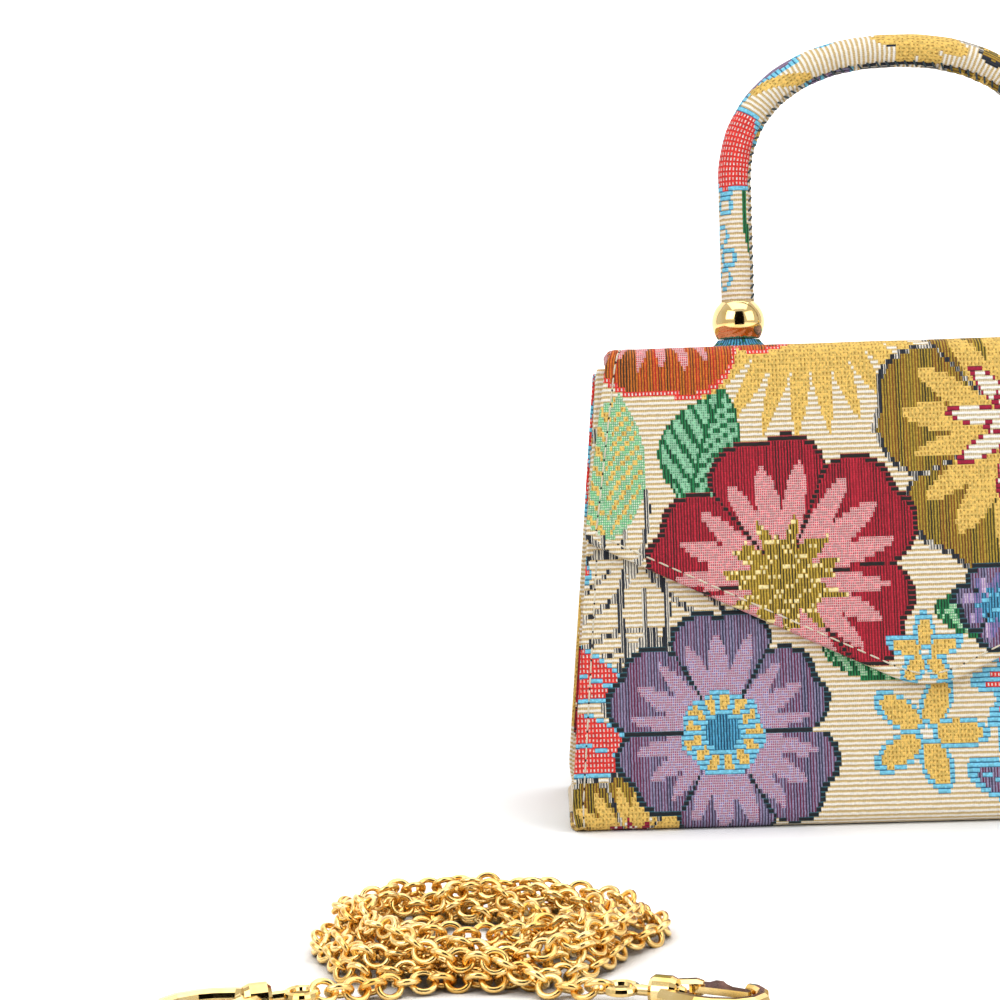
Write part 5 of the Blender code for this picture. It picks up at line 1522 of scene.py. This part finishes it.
@dataclass
class Finishes:
    """The materials of the bag, each made once."""

    tapestry: bpy.types.Material
    lining: bpy.types.Material
    board: bpy.types.Material
    core: bpy.types.Material
    gold: bpy.types.Material
    chain: bpy.types.Material
    brass: bpy.types.Material
    steel: bpy.types.Material
    thread: bpy.types.Material
    dark_thread: bpy.types.Material
    needle_hole: bpy.types.Material

    @classmethod
    def make(cls) -> "Finishes":
        """Makes every material."""
        return cls(
            TAPESTRY.material(),
            PlainCloth("polyester_lining_plain_woven", "D9CBA9", "CBBB95").material(),
            GreyBoard().material(),
            PlainCloth("cotton_cord_plied", "DDD6C6", "CFC6B2", 0.8).material(),
            PALE_GOLD.material(),
            CHAIN_GOLD.material(),
            SNAP_BRASS.material(),
            STEEL.material(),
            PlainCloth("polyester_thread_plied_cream", "F4ECD8", "E2D4B4", 0.3).material(),
            PlainCloth("polyester_thread_plied_navy", "1E2B3C", "2C4A4A", 0.3).material(),
            PlainCloth("needle_hole_shadow", "2A2018", "3A2C1E", 0.3).material(),
        )


@dataclass
class Body:
    """The bag's body: one wrapped panel for front, underside and back, two folded gussets and the lining."""

    shape: BagShape = SHAPE
    gusset_columns: int = 58
    soft_corner: float = 1.5

    def wrap_section(self) -> np.ndarray:
        """The wall's section from the rim at the back, under the bag, to the rim at the front."""
        s, r = self.shape, self.shape.corner
        centre = s.depth / 2 - r * math.tan((math.pi / 2 + s.lean) / 2)
        half = [(0.0, 0.0)]
        for i in range(9):
            a = -math.pi / 2 + (math.pi / 2 + s.lean) * i / 8
            half.append((centre + r * math.cos(a), r + r * math.sin(a)))
        half.append((s.wall(s.height), s.height))
        back = np.array(half[::-1])
        front = np.array(half[1:]) * (-1, 1)
        return np.concatenate([back, front])

    def wrap(self) -> Panel:
        """The wrapped panel; v is the height on the front and goes on under the bag and up the back."""
        s = self.shape
        section = self.wrap_section()
        run = run_along(even_line(section, 0.25))[-1]
        front = s.height / math.cos(s.lean)
        low, high = front - run, front
        surface = Ruled(section, low, [(1.0, s.width / 2, self.soft_corner), (low + front - 1.0, s.width / 2, self.soft_corner)])
        corner = s.width / 2
        outline = np.array([(-s.rim_width / 2, high), (-corner, 0.5), (-corner, low + front - 0.5), (-s.rim_width / 2, low), (s.rim_width / 2, low), (corner, low + front - 0.5), (corner, 0.5), (s.rim_width / 2, high)])

        def depth(v: np.ndarray) -> np.ndarray:
            ends = np.minimum(high - v, v - low)
            return 1.25 + 1.6 * np.clip((4.0 - ends) / 3.0, 0, 1)

        return Panel("body_cloth", "bag", outline, surface, Hem(0.6, depth, 2.6), WRAP_MOTIFS)

    def gusset_section(self, z: float) -> np.ndarray:
        """The folded side panel's outer face at a height, as (outwards from the bag's middle, towards the front)."""
        s = self.shape
        tangent = s.corner * math.tan((math.pi / 2 + s.lean) / 2)
        inset = s.fabric + 0.3
        reach, rise = s.corner - inset, s.corner - z
        seam = s.wall(z, inset)
        if rise > 0:
            seam = min(seam, s.depth / 2 - tangent + math.sqrt(max(reach**2 - rise**2, 0.0)))
        top_x = s.rim_width / 2 - s.fold_depth
        low = s.width / 2 - s.flange
        fold = top_x + (low - top_x) * max(0.0, 1 - z / s.fold_height) ** s.fold_curve
        edge, flange = s.half_width(z) - s.fabric, s.half_width(z) - s.flange
        middle = min(fold, flange - 0.3) + s.fabric
        inner = seam - s.fabric
        half = [(edge, inner), (flange + 0.5, inner), (middle, s.fold_flat / 2 - 0.4), (middle, 0.0)]
        half = rounded_profile(half, 4.0, 5)
        full = np.array(half + [(x, -y) for x, y in half[-2::-1]])
        full[:, 0] += 0.5 * np.sin(full[:, 1] * 0.24 + z * 0.05) * np.exp(-((full[:, 1] / 16) ** 2)) * min(1, z / 30) * min(1, max(0, (104 - z) / 20))
        return even_line(full, 0.7)

    def gusset(self, side: int, name: str, look: bpy.types.Material) -> bpy.types.Object:
        """Makes one folded side panel; side is -1 on the left and 1 on the right."""
        cell, rib = TAPESTRY.cell_mm, TAPESTRY.rib_mm
        wide = 2 * self.gusset_columns + 1
        points, flats = [], []
        # At the bottom the cloth turns outwards and lies on the wrapped panel; push says how far it has turned.
        foot = [(1.32, 1.0), (1.34, 0.66), (1.42, 0.33), (1.75, 0.08)]
        levels = foot + [(z, 0.0) for z in np.arange(2.3, self.shape.height - 1.2, rib)]
        for z, push in levels:
            line = self.gusset_section(z)
            run = run_along(line)
            run -= run[-1] / 2
            u = np.clip((np.arange(wide) - self.gusset_columns) * cell, run[0], run[-1])
            x, y = places_at(u, run, line).T
            x = x + (self.shape.half_width(z) - self.shape.fabric - x) * push
            x = x - self.soft_corner * math.exp(-(((z - 1.0) / 4.5) ** 2)) * np.clip((np.abs(y) - 27) / 8, 0, 1) ** 2
            points.append(np.stack([side * x, side * y, np.full_like(x, z)], 1))
            flats.append(np.stack([u, np.full_like(u, z - 5.0 * push)], 1))
        # At the top it is folded inwards over the edge.
        top, flat = points[-1], flats[-1]
        inwards = -self.sideways(top)
        run = 0.0
        for step, into, up in ((0.46, 0.1, 0.45), (0.5, 0.45, 0.8), (0.55, 1.0, 0.8), (0.5, 1.35, 0.4), (3.4, 1.45, -3.0)):
            run += step
            points.append(top + inwards * into + (0, 0, up))
            flats.append(flat + (0, run))
        faces, middles = [], []
        for r in range(len(points) - 1):
            for c in range(wide - 1):
                corners = [(r, c), (r, c + 1), (r + 1, c + 1), (r + 1, c)]
                spots = [tuple(np.round(points[a][b], 4)) for a, b in corners]
                kept = [k for i, k in enumerate(corners) if spots[i] not in spots[:i]]
                if len(kept) > 2:
                    faces.append([a * wide + b for a, b in kept])
                    middles.append(np.mean([flats[a][b] for a, b in kept], axis=0))
        made = new_piece(name, np.concatenate(points), faces, look, "bag")
        shift = np.array([0.0, 0.0]) if side < 0 else np.array([9.0, 40.0])
        weave(made, np.concatenate(flats) + shift, np.array(middles) + shift, SIDE_MOTIFS)
        return made

    @staticmethod
    def sideways(row: np.ndarray) -> np.ndarray:
        """Directions square to a level line of points, on the outer side of the gusset."""
        along = np.gradient(row, axis=0)
        along /= np.maximum(np.linalg.norm(along, axis=1), 1e-6)[:, None]
        return np.cross(along, (0, 0, 1.0))

    def lining_section(self, z: float, inset: float) -> np.ndarray:
        """The lining's closed outline at a height, which follows boards and gussets."""
        s = self.shape
        front = s.wall(z, s.fabric + s.board + s.lining + inset)
        section = self.gusset_section(z)
        middle = section[np.abs(section[:, 1]).argmin(), 0] - s.fabric - 0.45 - inset
        wide = s.half_width(z) - s.flange - 0.45 - inset
        slant = (wide - middle) / max(s.wall(z, 2.1) - s.fold_flat / 2, 1)
        corner = middle + slant * (front - s.fold_flat / 2)
        half = [(0.0, front), (corner - 1.0, front), (middle, s.fold_flat / 2 + 1), (middle, 0.0)]
        half = np.array(rounded_profile(half, 5.0, 5))
        full = np.concatenate([half, (half * (1, -1))[-2::-1]])
        full = np.concatenate([full, (full * (-1, 1))[-2:0:-1]])
        run = np.concatenate([full, full[:1]])
        return even_line(run, 1.0)

    def lining(self, look: bpy.types.Material) -> bpy.types.Object:
        """Makes the lining's inner face with its slack wrinkles, its floor and its rolled top edge."""
        s, inset = self.shape, 0.6
        bottom = s.fabric + s.board + s.lining + inset
        levels = np.concatenate([np.linspace(bottom, 20, 12), np.linspace(24, 128, 27), [130.2, 131.4, 132.2]])
        count = 260
        rows = []
        for z in levels:
            line = self.lining_section(z, inset)
            line = even_line(line, np.linalg.norm(np.diff(line, axis=0), axis=1).sum() / count)[:count]
            a = np.arange(count) / count * 2 * math.pi
            slack = math.sin(math.pi * min(1, z / 128)) ** 0.5 * 0.5
            crumple = slack * (np.sin(9 * a + z * 0.05) * 0.5 + np.sin(17 * a - z * 0.09) * 0.35 + np.sin(31 * a + z * 0.12) * 0.2 - 0.8)
            out = line / np.maximum(np.linalg.norm(line * (0.5, 1.6), axis=1), 1)[:, None]
            moved = line + out * np.minimum(crumple, 0)[:, None]
            rows.append(np.column_stack([moved, np.full(count, z)]))
        out_line = self.lining_section(132.4, 0.0)
        out_line = even_line(out_line, np.linalg.norm(np.diff(out_line, axis=0), axis=1).sum() / count)[:count]
        for share, z in ((0.4, 132.75), (0.8, 132.7), (1.0, 132.3), (1.0, 128.0)):
            blend_line = rows[len(levels) - 1][:, :2] * (1 - share) + out_line * share
            rows.append(np.column_stack([blend_line, np.full(count, z)]))
        floor = [np.column_stack([rows[0][:, :2] * (k, k), np.full(count, bottom + 0.25 * math.sin(9 * k))]) for k in (0.0, 0.2, 0.45, 0.7, 0.88, 0.96)]
        rows = floor + rows
        faces = quads(len(rows), count, round_wide=True, flipped=True)
        made = new_piece("lining_cloth", np.concatenate(rows), faces, look, "bag")
        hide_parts("lining")
        return made

    def build(self, looks: Finishes, sewing: Stitching) -> None:
        """Makes the body's pieces and its seams."""
        panel = self.wrap()
        made = panel.build(looks.tapestry)
        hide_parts("body_wrap")
        for side, name in ((-1, "left"), (1, "right")):
            item = self.gusset(side, f"{name}_gusset_cloth", looks.tapestry)
            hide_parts(f"{name}_gusset")
        self.lining(looks.lining)

        for name, corners in (("left_front", (0, 1)), ("left_back", (2, 3)), ("right_back", (4, 5)), ("right_front", (6, 7))):
            sewing.row(f"stitches_{name}", panel.seam(corners), panel.face, "bag")


@dataclass
class Flap:
    """The pointed flap and the top, cut in one, with the tongue that is sewn to the back wall."""

    shape: BagShape = SHAPE
    places: dict[str, float] = field(default_factory=dict)
    tongue: float = 16.0
    tongue_thickness: float = 1.1
    roll: float = 3.4

    @property
    def tip(self) -> float:
        """Height of the flap's rounded tip."""
        s, slope = self.shape, math.radians(self.shape.flap_slope)
        return s.flap_corner - s.flap_width / 2 * math.tan(slope) + s.tip_radius * (1 / math.cos(slope) - 1)

    def section(self) -> np.ndarray:
        """The flap's outer face from its tip, over the front edge and the top, down the tongue at the back."""
        s = self.shape
        out = s.flap_clearance + s.flap_thickness
        line = [(-s.wall(self.tip - 12, -out), self.tip - 12)]
        turn = math.pi / 2 - s.lean
        apex = -s.wall(s.top, -out)
        centre = apex + s.front_radius * math.tan(turn / 2)
        for i in range(11):
            a = math.pi - s.lean - turn * i / 10
            line.append((centre + s.front_radius * math.cos(a), s.top - s.front_radius + s.front_radius * math.sin(a)))
        back = self.tongue_thickness + 0.15
        turn = math.pi / 2 - s.lean
        start = s.wall(s.top, -back) - self.roll * math.tan(turn / 2)
        for i in range(11):
            a = math.pi / 2 - turn * i / 10
            line.append((start + self.roll * math.cos(a), s.top - self.roll + self.roll * math.sin(a)))
        low = s.height - self.tongue
        line.append((s.wall(low, -back), low))
        line.append((s.wall(low - 10, -back), low - 10))
        return np.array(line)

    def marks(self, surface: Ruled) -> dict[str, float]:
        """Places along the cloth: the top's front and back edges and the tongue's end."""
        s = self.shape
        y = surface.section[:, 0]
        middle = int(np.argmin(np.abs(y) + (surface.section[:, 1] < s.top - 0.1) * 100))
        front = int(np.argmax(surface.section[:middle, 1] > s.top - 0.05))
        back = middle + int(np.argmax(surface.section[middle:, 1] < s.top - 0.05))
        end = middle + int(np.argmax(surface.section[middle:, 1] < s.height - self.tongue))
        return {"front": surface.v[front], "back": surface.v[back], "end": surface.v[end]}

    def outline(self, back: float, back_cut: float, corner_cut: float) -> np.ndarray:
        """The flap's cut shape, which ends at a given place behind.

        Args:
            back: where the cloth ends behind, along its length.
            back_cut: how much is cut off its two corners there.
            corner_cut: how much is cut off the two corners of the pointed front.

        Returns:
            Its corners in order, from the tip's left end.
        """
        s = self.shape
        slope = math.radians(s.flap_slope)
        front, stretch = self.places["front"], 1 / math.cos(s.lean)
        made = []
        for i in range(7):
            a = -slope + 2 * slope * i / 6
            made.append((s.tip_radius * math.sin(a), self.tip + s.tip_radius * (1 - math.cos(a)) * stretch))
        corner, half = self.tip + (s.flap_corner - self.tip) * stretch, s.flap_top_width / 2
        if corner_cut > 0:
            right = [(s.flap_width / 2 - corner_cut, corner - corner_cut * math.tan(slope)), (s.flap_width / 2 - 0.1, corner + corner_cut)]
        else:
            right = [(s.flap_width / 2, corner)]
        right += [(half + 0.05, front), (half, back - back_cut)]
        if back_cut > 0:
            right.append((half - back_cut, back))
        return np.array(made + right + [(-x, v) for x, v in right[::-1]])

    def panel(self) -> Panel:
        """The flap as one panel of tapestry."""
        s = self.shape
        surface = Ruled(self.section(), self.tip - 12 / math.cos(s.lean))
        m = self.marks(surface)
        surface.pinches = [(m["front"], s.flap_top_width / 2, 1.5)]
        self.places = m
        outline = self.outline(m["end"], 2.5, 0.9)

        def depth(v: np.ndarray) -> np.ndarray:
            thick = np.interp(v, [m["front"] - 8, m["front"] + 1, m["back"] - 3, m["back"] + 3], [s.flap_thickness, s.top_thickness, s.top_thickness, self.tongue_thickness + 0.3])
            return thick - 0.32

        def mounds(u: np.ndarray, v: np.ndarray) -> np.ndarray:
            middle = np.interp(0.0, surface.section[:, 0], surface.v)
            out = np.minimum(np.hypot(u - s.handle_span / 2, v - middle), np.hypot(u + s.handle_span / 2, v - middle))
            return 1.15 * np.exp(-((np.maximum(out - 6.0, 0) / 2.6) ** 2))

        return Panel("flap_cloth", "", outline, surface, Hem(0.9, depth, 5.0), FLAP_MOTIFS, extra=mounds)

    def lining(self, look: bpy.types.Material, panel: Panel) -> bpy.types.Object:
        """Makes the cloth that backs the flap and the top."""
        s = self.shape
        outline = self.outline(self.places["back"] - 1.5, 0.0, 0.0)
        depth = panel.hem.depth

        def under(u: np.ndarray, v: np.ndarray) -> tuple[np.ndarray, np.ndarray, np.ndarray]:
            """The inner side of the flap, seen from inside: u runs the other way there."""
            points, across, along = panel.surface(-u, v)
            sag = 0.10 * (1 + np.sin(u * 0.11) * np.sin(v * 0.09))
            return points - np.cross(across, along) * (depth(v) + 0.3 - sag)[:, None], -across, along

        cloth = Panel("flap_lining_cloth", "flap", inset_outline(outline, 3.6), under, Hem(0.17, lambda v: np.full_like(v, 0.4), 1.0, 0.3), [], stitch_inset=2.0, groove=0.1, relief=0.0)
        flat, faces, _ = cloth.grid()
        points = cloth.place(flat[:, 0], flat[:, 1])
        stud = np.array(s.wall_matrix(s.snap_height).translation)
        high, near = points[:, 2] > 130, np.hypot(np.abs(points[:, 0]) - s.handle_span / 2, points[:, 1]) < 3.6
        near = (high & near) | (~high & (np.linalg.norm(points - stud, axis=1) < 5.2))
        faces = [f for f in faces if not any(near[i] for i in f)]
        rim_points, _, rim_faces, _ = cloth.rim()
        faces += [tuple(i + len(points) for i in f) for f in rim_faces]
        made = new_piece("flap_lining_cloth", np.concatenate([points, rim_points]), faces, look, "flap")
        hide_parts("flap_lining")
        return made

    def build(self, looks: Finishes, sewing: Stitching) -> None:
        """Makes the flap's pieces and its seams."""
        panel = self.panel()
        made = panel.build(looks.tapestry)
        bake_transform(made)
        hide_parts("flap_cover")
        self.lining(looks.lining, panel)

        line = inset_outline(self.outline(self.places["end"], 0.0, 0.0), panel.stitch_inset)
        left, right = line[-2].copy(), line[8].copy()
        left[1] = right[1] = self.places["front"] + 2
        sewing.row("stitches_flap", np.array([left, line[-1], *line[:8], right]), panel.face, "flap")
        tongue = line[[9, 10]]
        for name, raise_by in (("low", 0.0), ("high", 6.0)):
            sewing.row(f"stitches_tongue_{name}", tongue - (0, raise_by), panel.face, "bag")


@dataclass
class Handle:
    """The top handle: a sewn tube of tapestry over a cord, its feet held in two ball ferrules on gathered necks."""

    shape: BagShape = SHAPE
    radius: float = 4.85
    foot: float = 147.05
    shoulder: float = 187.35
    arch: float = 38.6
    squareness: float = 2.25
    seam_turn: float = 152.0
    ball: float = 8.0
    ball_height: float = 146.25

    def path(self) -> np.ndarray:
        """The handle's centre line as (x, z), from the left foot over the arch to the right foot."""
        half = self.shape.handle_span / 2
        a = np.linspace(0, math.pi, 181)
        c, s = np.cos(a), np.sin(a)
        power = 2 / self.squareness
        arch = np.stack([-half * np.sign(c) * np.abs(c) ** power, self.shoulder + self.arch * np.abs(s) ** power], 1)
        left = np.array([(-half, z) for z in np.linspace(self.foot, self.shoulder, 20)[:-1]])
        return np.concatenate([left, arch, (left * (-1, 1))[::-1]])

    def frame(self, step: float) -> tuple[np.ndarray, np.ndarray, np.ndarray]:
        """Evenly spaced places along the handle: distance, centre and outward direction, both in (x, z)."""
        line = even_line(self.path(), step)
        along = units(np.gradient(line, axis=0))
        return run_along(line), line, np.stack([-along[:, 1], along[:, 0]], 1)

    def skin(self, centre: np.ndarray, out: np.ndarray, turn: np.ndarray, lift: np.ndarray | float = 0.0) -> np.ndarray:
        """Points at an angle round the handle; 0 is its outer side and 90 degrees its front."""
        radius = (self.radius + lift) * np.ones_like(turn)
        x = centre[:, 0] + radius * np.cos(turn) * out[:, 0]
        z = centre[:, 1] + radius * np.cos(turn) * out[:, 1]
        return np.stack([x, -radius * np.sin(turn), z], 1)

    def cover(self, look: bpy.types.Material) -> bpy.types.Object:
        """Makes the tapestry tube, with its turned edges drawn into a groove along the seam."""
        run, line, out = self.frame(TAPESTRY.cell_mm)
        sides = 44
        turns = np.radians(self.seam_turn) + 2 * math.pi * (np.arange(sides + 1) / sides)
        bend = np.abs(np.gradient(np.unwrap(np.arctan2(out[:, 1], out[:, 0])), run))
        rows, flats = [], []
        for turn in turns:
            away = (turn - math.radians(self.seam_turn)) / (2 * math.pi) * 2 * math.pi * self.radius
            near = min(away, 2 * math.pi * self.radius - away)
            lift = -0.85 * math.exp(-((near / 0.55) ** 2)) + 0.16 * math.exp(-(((near - 1.5) / 0.8) ** 2))
            inner = max(0.0, -math.cos(turn))
            lift = lift + 0.28 * inner * np.clip(bend * 14, 0, 1) * np.sin(run * 2.1 + 1.3 * math.sin(turn * 2)) + 0.05 * np.sin(run * 0.6 + turn * 2)
            rows.append(self.skin(line, out, np.full(len(run), turn), lift))
            flats.append(np.stack([np.full(len(run), away), run], 1))
        places = np.array(flats)
        middles = (places[:-1, :-1] + places[1:, 1:]) / 2
        faces = quads(sides + 1, len(run), flipped=True)
        made = new_piece("handle_cloth", np.concatenate(rows), faces, look, "flap")
        weave(made, np.concatenate(flats), middles.reshape(-1, 2), self.motifs(run[-1]))
        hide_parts("handle_cover")
        return made

    @staticmethod
    def motifs(length: float) -> list[Motif]:
        """What the handle's strip of cloth was cut through: parts of large flowers and a trail of rings."""
        return [
            Beads((20.4, 11), (0.3, 7.6), 4, 2.3),
            Leaf((29.6, 18), 26, 1.9, 92, Yarn.PINE, Yarn.MINT, Yarn.PINE),
            Patch((22.6, 50.0), (14.5, 21), Yarn.CORAL, Yarn.SKY, 14, 1.6),
            Patch((16.8, 73), (6.5, 17), Yarn.PURPLE, Yarn.SKY, -8, 1.8),
            Patch((24.6, 75), (3.6, 19), Yarn.SUN, Yarn.SUN, -28, 0.0),
            Star((8, 58), 9, 5, 40),
            Blossom((8, 90), 11, 5, 20, Yarn.PURPLE, Yarn.LILAC, Yarn.SKY, Yarn.TEAL, Yarn.SKY, 0.3, 3),
            LinePetals((4, 104), 20, 5, 20),
            Burst((20, 118), 15, 7, 20, Yarn.SUN),
            Blossom((10, 138), 14, 5, 20, *OLIVE_FLOWER, 0.3, 3),
            Beads((24, 150), (-1.0, 6.6), 3),
            Blossom((16, length - 34), 15, 6, 0, *CRIMSON_FLOWER, 0.3, 3),
            Star((22, length - 12), 8, 5, 0),
        ]

    def seam(self, looks: Finishes) -> None:
        """Makes the whipped stitches that close the tube, each slanting over the groove."""
        run, line, out = self.frame(0.25)
        pitch, end_gap, thread_radius = 2.9, 4.0, 0.3
        turn = math.radians(self.seam_turn) + np.linspace(-1.25, 1.25, 7) / self.radius
        lift = np.array([-0.1, 0.18, 0.16, 0.1, 0.16, 0.18, -0.1])
        form = Form()
        for middle in np.arange(end_gap, run[-1] - end_gap, pitch):
            s = middle + np.linspace(-0.75, 0.75, 7)
            skin = self.skin(places_at(s, run, line), places_at(s, run, out), turn, lift)
            form.tube(skin, thread_radius, 8, up=(0.2, 1, 0.3))
        form.piece("handle_seam_stitches", looks.dark_thread, "flap")

    def ferrule(self, side: int, end: str, looks: Finishes) -> None:
        """Makes one polished ball ferrule and the gathered cloth neck under it."""
        x = side * self.shape.handle_span / 2
        low, high = math.asin(-4.86 / self.ball), math.asin(5.9 / self.ball)
        profile = [(5.9, -5.0), (6.18, -4.97)]
        for i in range(33):
            a = low + (high - low) * i / 32
            profile.append((self.ball * math.cos(a), self.ball * math.sin(a)))
        profile += [(5.33, 6.05), (5.24, 6.1), (5.17, 6.08), (5.12, 5.98), (5.12, 0.5), (1.9, 0.5), (1.9, -5.0)]
        made = Form()
        made.lathe(profile, 96)
        ball = made.moved(Matrix.Translation((x, 0, self.ball_height))).piece(f"ball_ferrule_{end}", looks.gold, "flap", 28)
        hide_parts(f"ferrule_{end}")
        self.neck(x, end, looks.tapestry)

    def neck(self, x: float, end: str, look: bpy.types.Material) -> None:
        """Makes the cloth drawn up in small pleats under the ball."""
        sides, base = 72, self.shape.top
        points, flats = [], []
        rows = [(8.9, 0.12), (8.1, 0.5), (7.4, 1.0), (6.85, 1.6), (6.45, 2.15), (6.15, 2.55), (5.6, 2.62)]
        for r, z in rows:
            for k in range(sides + 1):
                a = 2 * math.pi * k / sides
                pleat = 0.22 * math.sin(14 * a + 0.6 * math.sin(3 * a)) * min(1.0, (9.2 - r) / 1.5)
                points.append((x + (r + pleat) * math.cos(a), (r + pleat) * math.sin(a), base + z))
                flats.append((6.5 * a, z * 1.6))
        faces = quads(len(rows), sides + 1)
        made = new_piece(f"neck_cloth_{end}", np.array(points), faces, look, "flap")
        middles = np.array([np.mean([flats[n] for n in f], axis=0) for f in faces])
        weave(made, np.array(flats), middles, [Blossom((20, 0), 60, 5, 0, Yarn.TEAL, Yarn.TEAL, Yarn.NAVY, Yarn.TEAL, Yarn.PINE, 1.0, 3)])

    def build(self, looks: Finishes) -> None:
        """Makes the handle's pieces."""
        self.cover(looks.tapestry)
        self.seam(looks)
        for side, end in ((-1, "left"), (1, "right")):
            self.ferrule(side, end, looks)


@dataclass
class StrapRing:
    """A D-shaped ring of round wire and the folded cloth tab that holds it in the gusset."""

    side: int
    end: str
    x: float = 79.5
    z: float = 121.0
    wire: float = 2.0
    tab_width: float = 8.5
    tab_length: float = 10.0
    tab_cloth: float = 1.0

    def ring(self, gold: bpy.types.Material) -> None:
        """Makes the ring."""
        line = [(y, 0.0) for y in np.linspace(-4.5, 4.5, 10)]
        line += [(4.5 + 2 * math.sin(a), -2 + 2 * math.cos(a)) for a in np.linspace(0.2, math.pi / 2, 8)]
        line += [(6.5 * math.cos(a), -4.8 + 5.2 * math.sin(a)) for a in np.linspace(-0.12, -math.pi + 0.12, 40)]
        line += [(-4.5 - 2 * math.sin(a), -2 + 2 * math.cos(a)) for a in np.linspace(math.pi / 2, 0.2, 8)]
        path = np.array([(0.0, y, z) for y, z in line])
        form = Form()
        form.tube(path, self.wire / 2, 20, closed=True, up=(1, 0, 0))
        made = form.moved(Matrix.Translation((self.side * self.x, 0, self.z))).piece(f"strap_ring_{self.end}", gold, f"ring_{self.end}", 60)
        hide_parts(f"d_ring_{self.end}")

    def tab(self, look: bpy.types.Material) -> None:
        """Makes the tab: a strip of tapestry folded round the ring's bar, its ends laid on each other."""
        outer = self.wire / 2 + 0.3 + self.tab_cloth
        ends = 2 * self.tab_cloth
        loop = [(-outer, self.tab_length), (-outer, outer * 0.6)]
        loop += [(outer * math.cos(a), outer * math.sin(a)) for a in np.linspace(math.pi, 2 * math.pi, 17)]
        loop += [(outer, outer * 0.3), (outer * 0.72, outer * 0.95), (-outer + ends + 0.15, outer * 1.6), (-outer + ends, outer * 2.1), (-outer + ends, self.tab_length - 0.4), (-outer + ends - 0.4, self.tab_length)]
        outline = even_line(np.array(loop), 0.5)
        edge = self.tab_width / 2
        columns = np.concatenate([[-edge, -edge + 0.12, -edge + 0.42], np.arange(-3.5, 3.6, 0.7), [edge - 0.42, edge - 0.12, edge]])
        shrink = np.interp(np.abs(columns), [3.6, 3.83, 4.13, 4.25], [0.0, 0.0, 0.12, 0.42])
        along, middle = units(np.gradient(outline, axis=0)), len(outline) // 2
        inward = np.stack([-along[:, 1], along[:, 0]], 1)
        if (outline[middle] * inward[middle]).sum() > 0:
            inward = -inward
        run = run_along(outline)
        points, flats = [], []
        for y, s in zip(columns, shrink):
            for (px, pz), (nx, nz), r in zip(outline, inward, run):
                points.append((self.side * (self.x + (px + nx * s)), y, self.z + pz + nz * s))
                flats.append((y, r))
        high, wide = len(outline), len(columns)
        faces = quads(wide, high)
        faces += [tuple(range(high)), tuple(range((wide - 1) * high, wide * high))[::-1]]
        faces += [(c * high, (c + 1) * high, (c + 1) * high + high - 1, c * high + high - 1) for c in range(wide - 1)]
        made = turned_out(new_piece(f"tab_cloth_{self.end}", np.array(points), faces, look, "bag"), 50)
        middles = np.array([np.mean([flats[n] for n in p.vertices], axis=0) for p in made.data.polygons])
        weave(made, np.array(flats), middles, [Blossom((10, 4), 14, 5, 0, Yarn.PINE, Yarn.LEAF, Yarn.NAVY, Yarn.PINE, Yarn.MINT, 0.5, 3)])
        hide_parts(f"ring_tab_{self.end}")

    def build(self, looks: Finishes) -> None:
        """Makes both pieces."""
        self.ring(looks.gold)
        self.tab(looks.tapestry)


@dataclass
class KeptHardware:
    """The solid model's own parts that need no finer form: boards, the cord, snap, screws, washers and clasps."""

    looks: Finishes

    def build(self) -> None:
        """Gives each of them its finish."""
        kinds = {
            self.looks.board: ("front_board", "back_board", "base_board", "top_board", "flap_board"),
            self.looks.core: ("handle_core",),
            self.looks.brass: ("snap_socket", "snap_stud"),
            self.looks.steel: ("snap_socket_washer", "snap_stud_washer", "handle_washer_left", "handle_washer_right", "handle_screw_left", "handle_screw_right"),
            self.looks.gold: ("clasp_body_a", "clasp_body_b", "clasp_gate_a", "clasp_gate_b", "clasp_swivel_a", "clasp_swivel_b"),
        }
        for look, names in kinds.items():
            for name in names:
                for slot in bpy.data.objects[name].material_slots:
                    slot.material = look
        LOG.info("dressed %d carried-over solids", sum(len(names) for names in kinds.values()))


def main() -> None:
    """Builds the studio and every piece."""
    logging.basicConfig(level=logging.INFO, format="%(name)s %(message)s")
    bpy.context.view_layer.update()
    bpy.context.scene.view_settings.view_transform = "Standard"
    Studio().build()
    looks = Finishes.make()
    sewing = Stitching(looks.thread, looks.needle_hole)
    Body().build(looks, sewing)
    Flap().build(looks, sewing)
    Handle().build(looks)
    for side, end in ((-1, "left"), (1, "right")):
        StrapRing(side, end).build(looks)
    ChainStrap(ClaspPlace("a", -166.0, -193.0, 198.0), ClaspPlace("b", -90.0, -195.0, -20.0)).build(looks.chain)
    KeptHardware(looks).build()


if __name__ == "__main__":
    main()
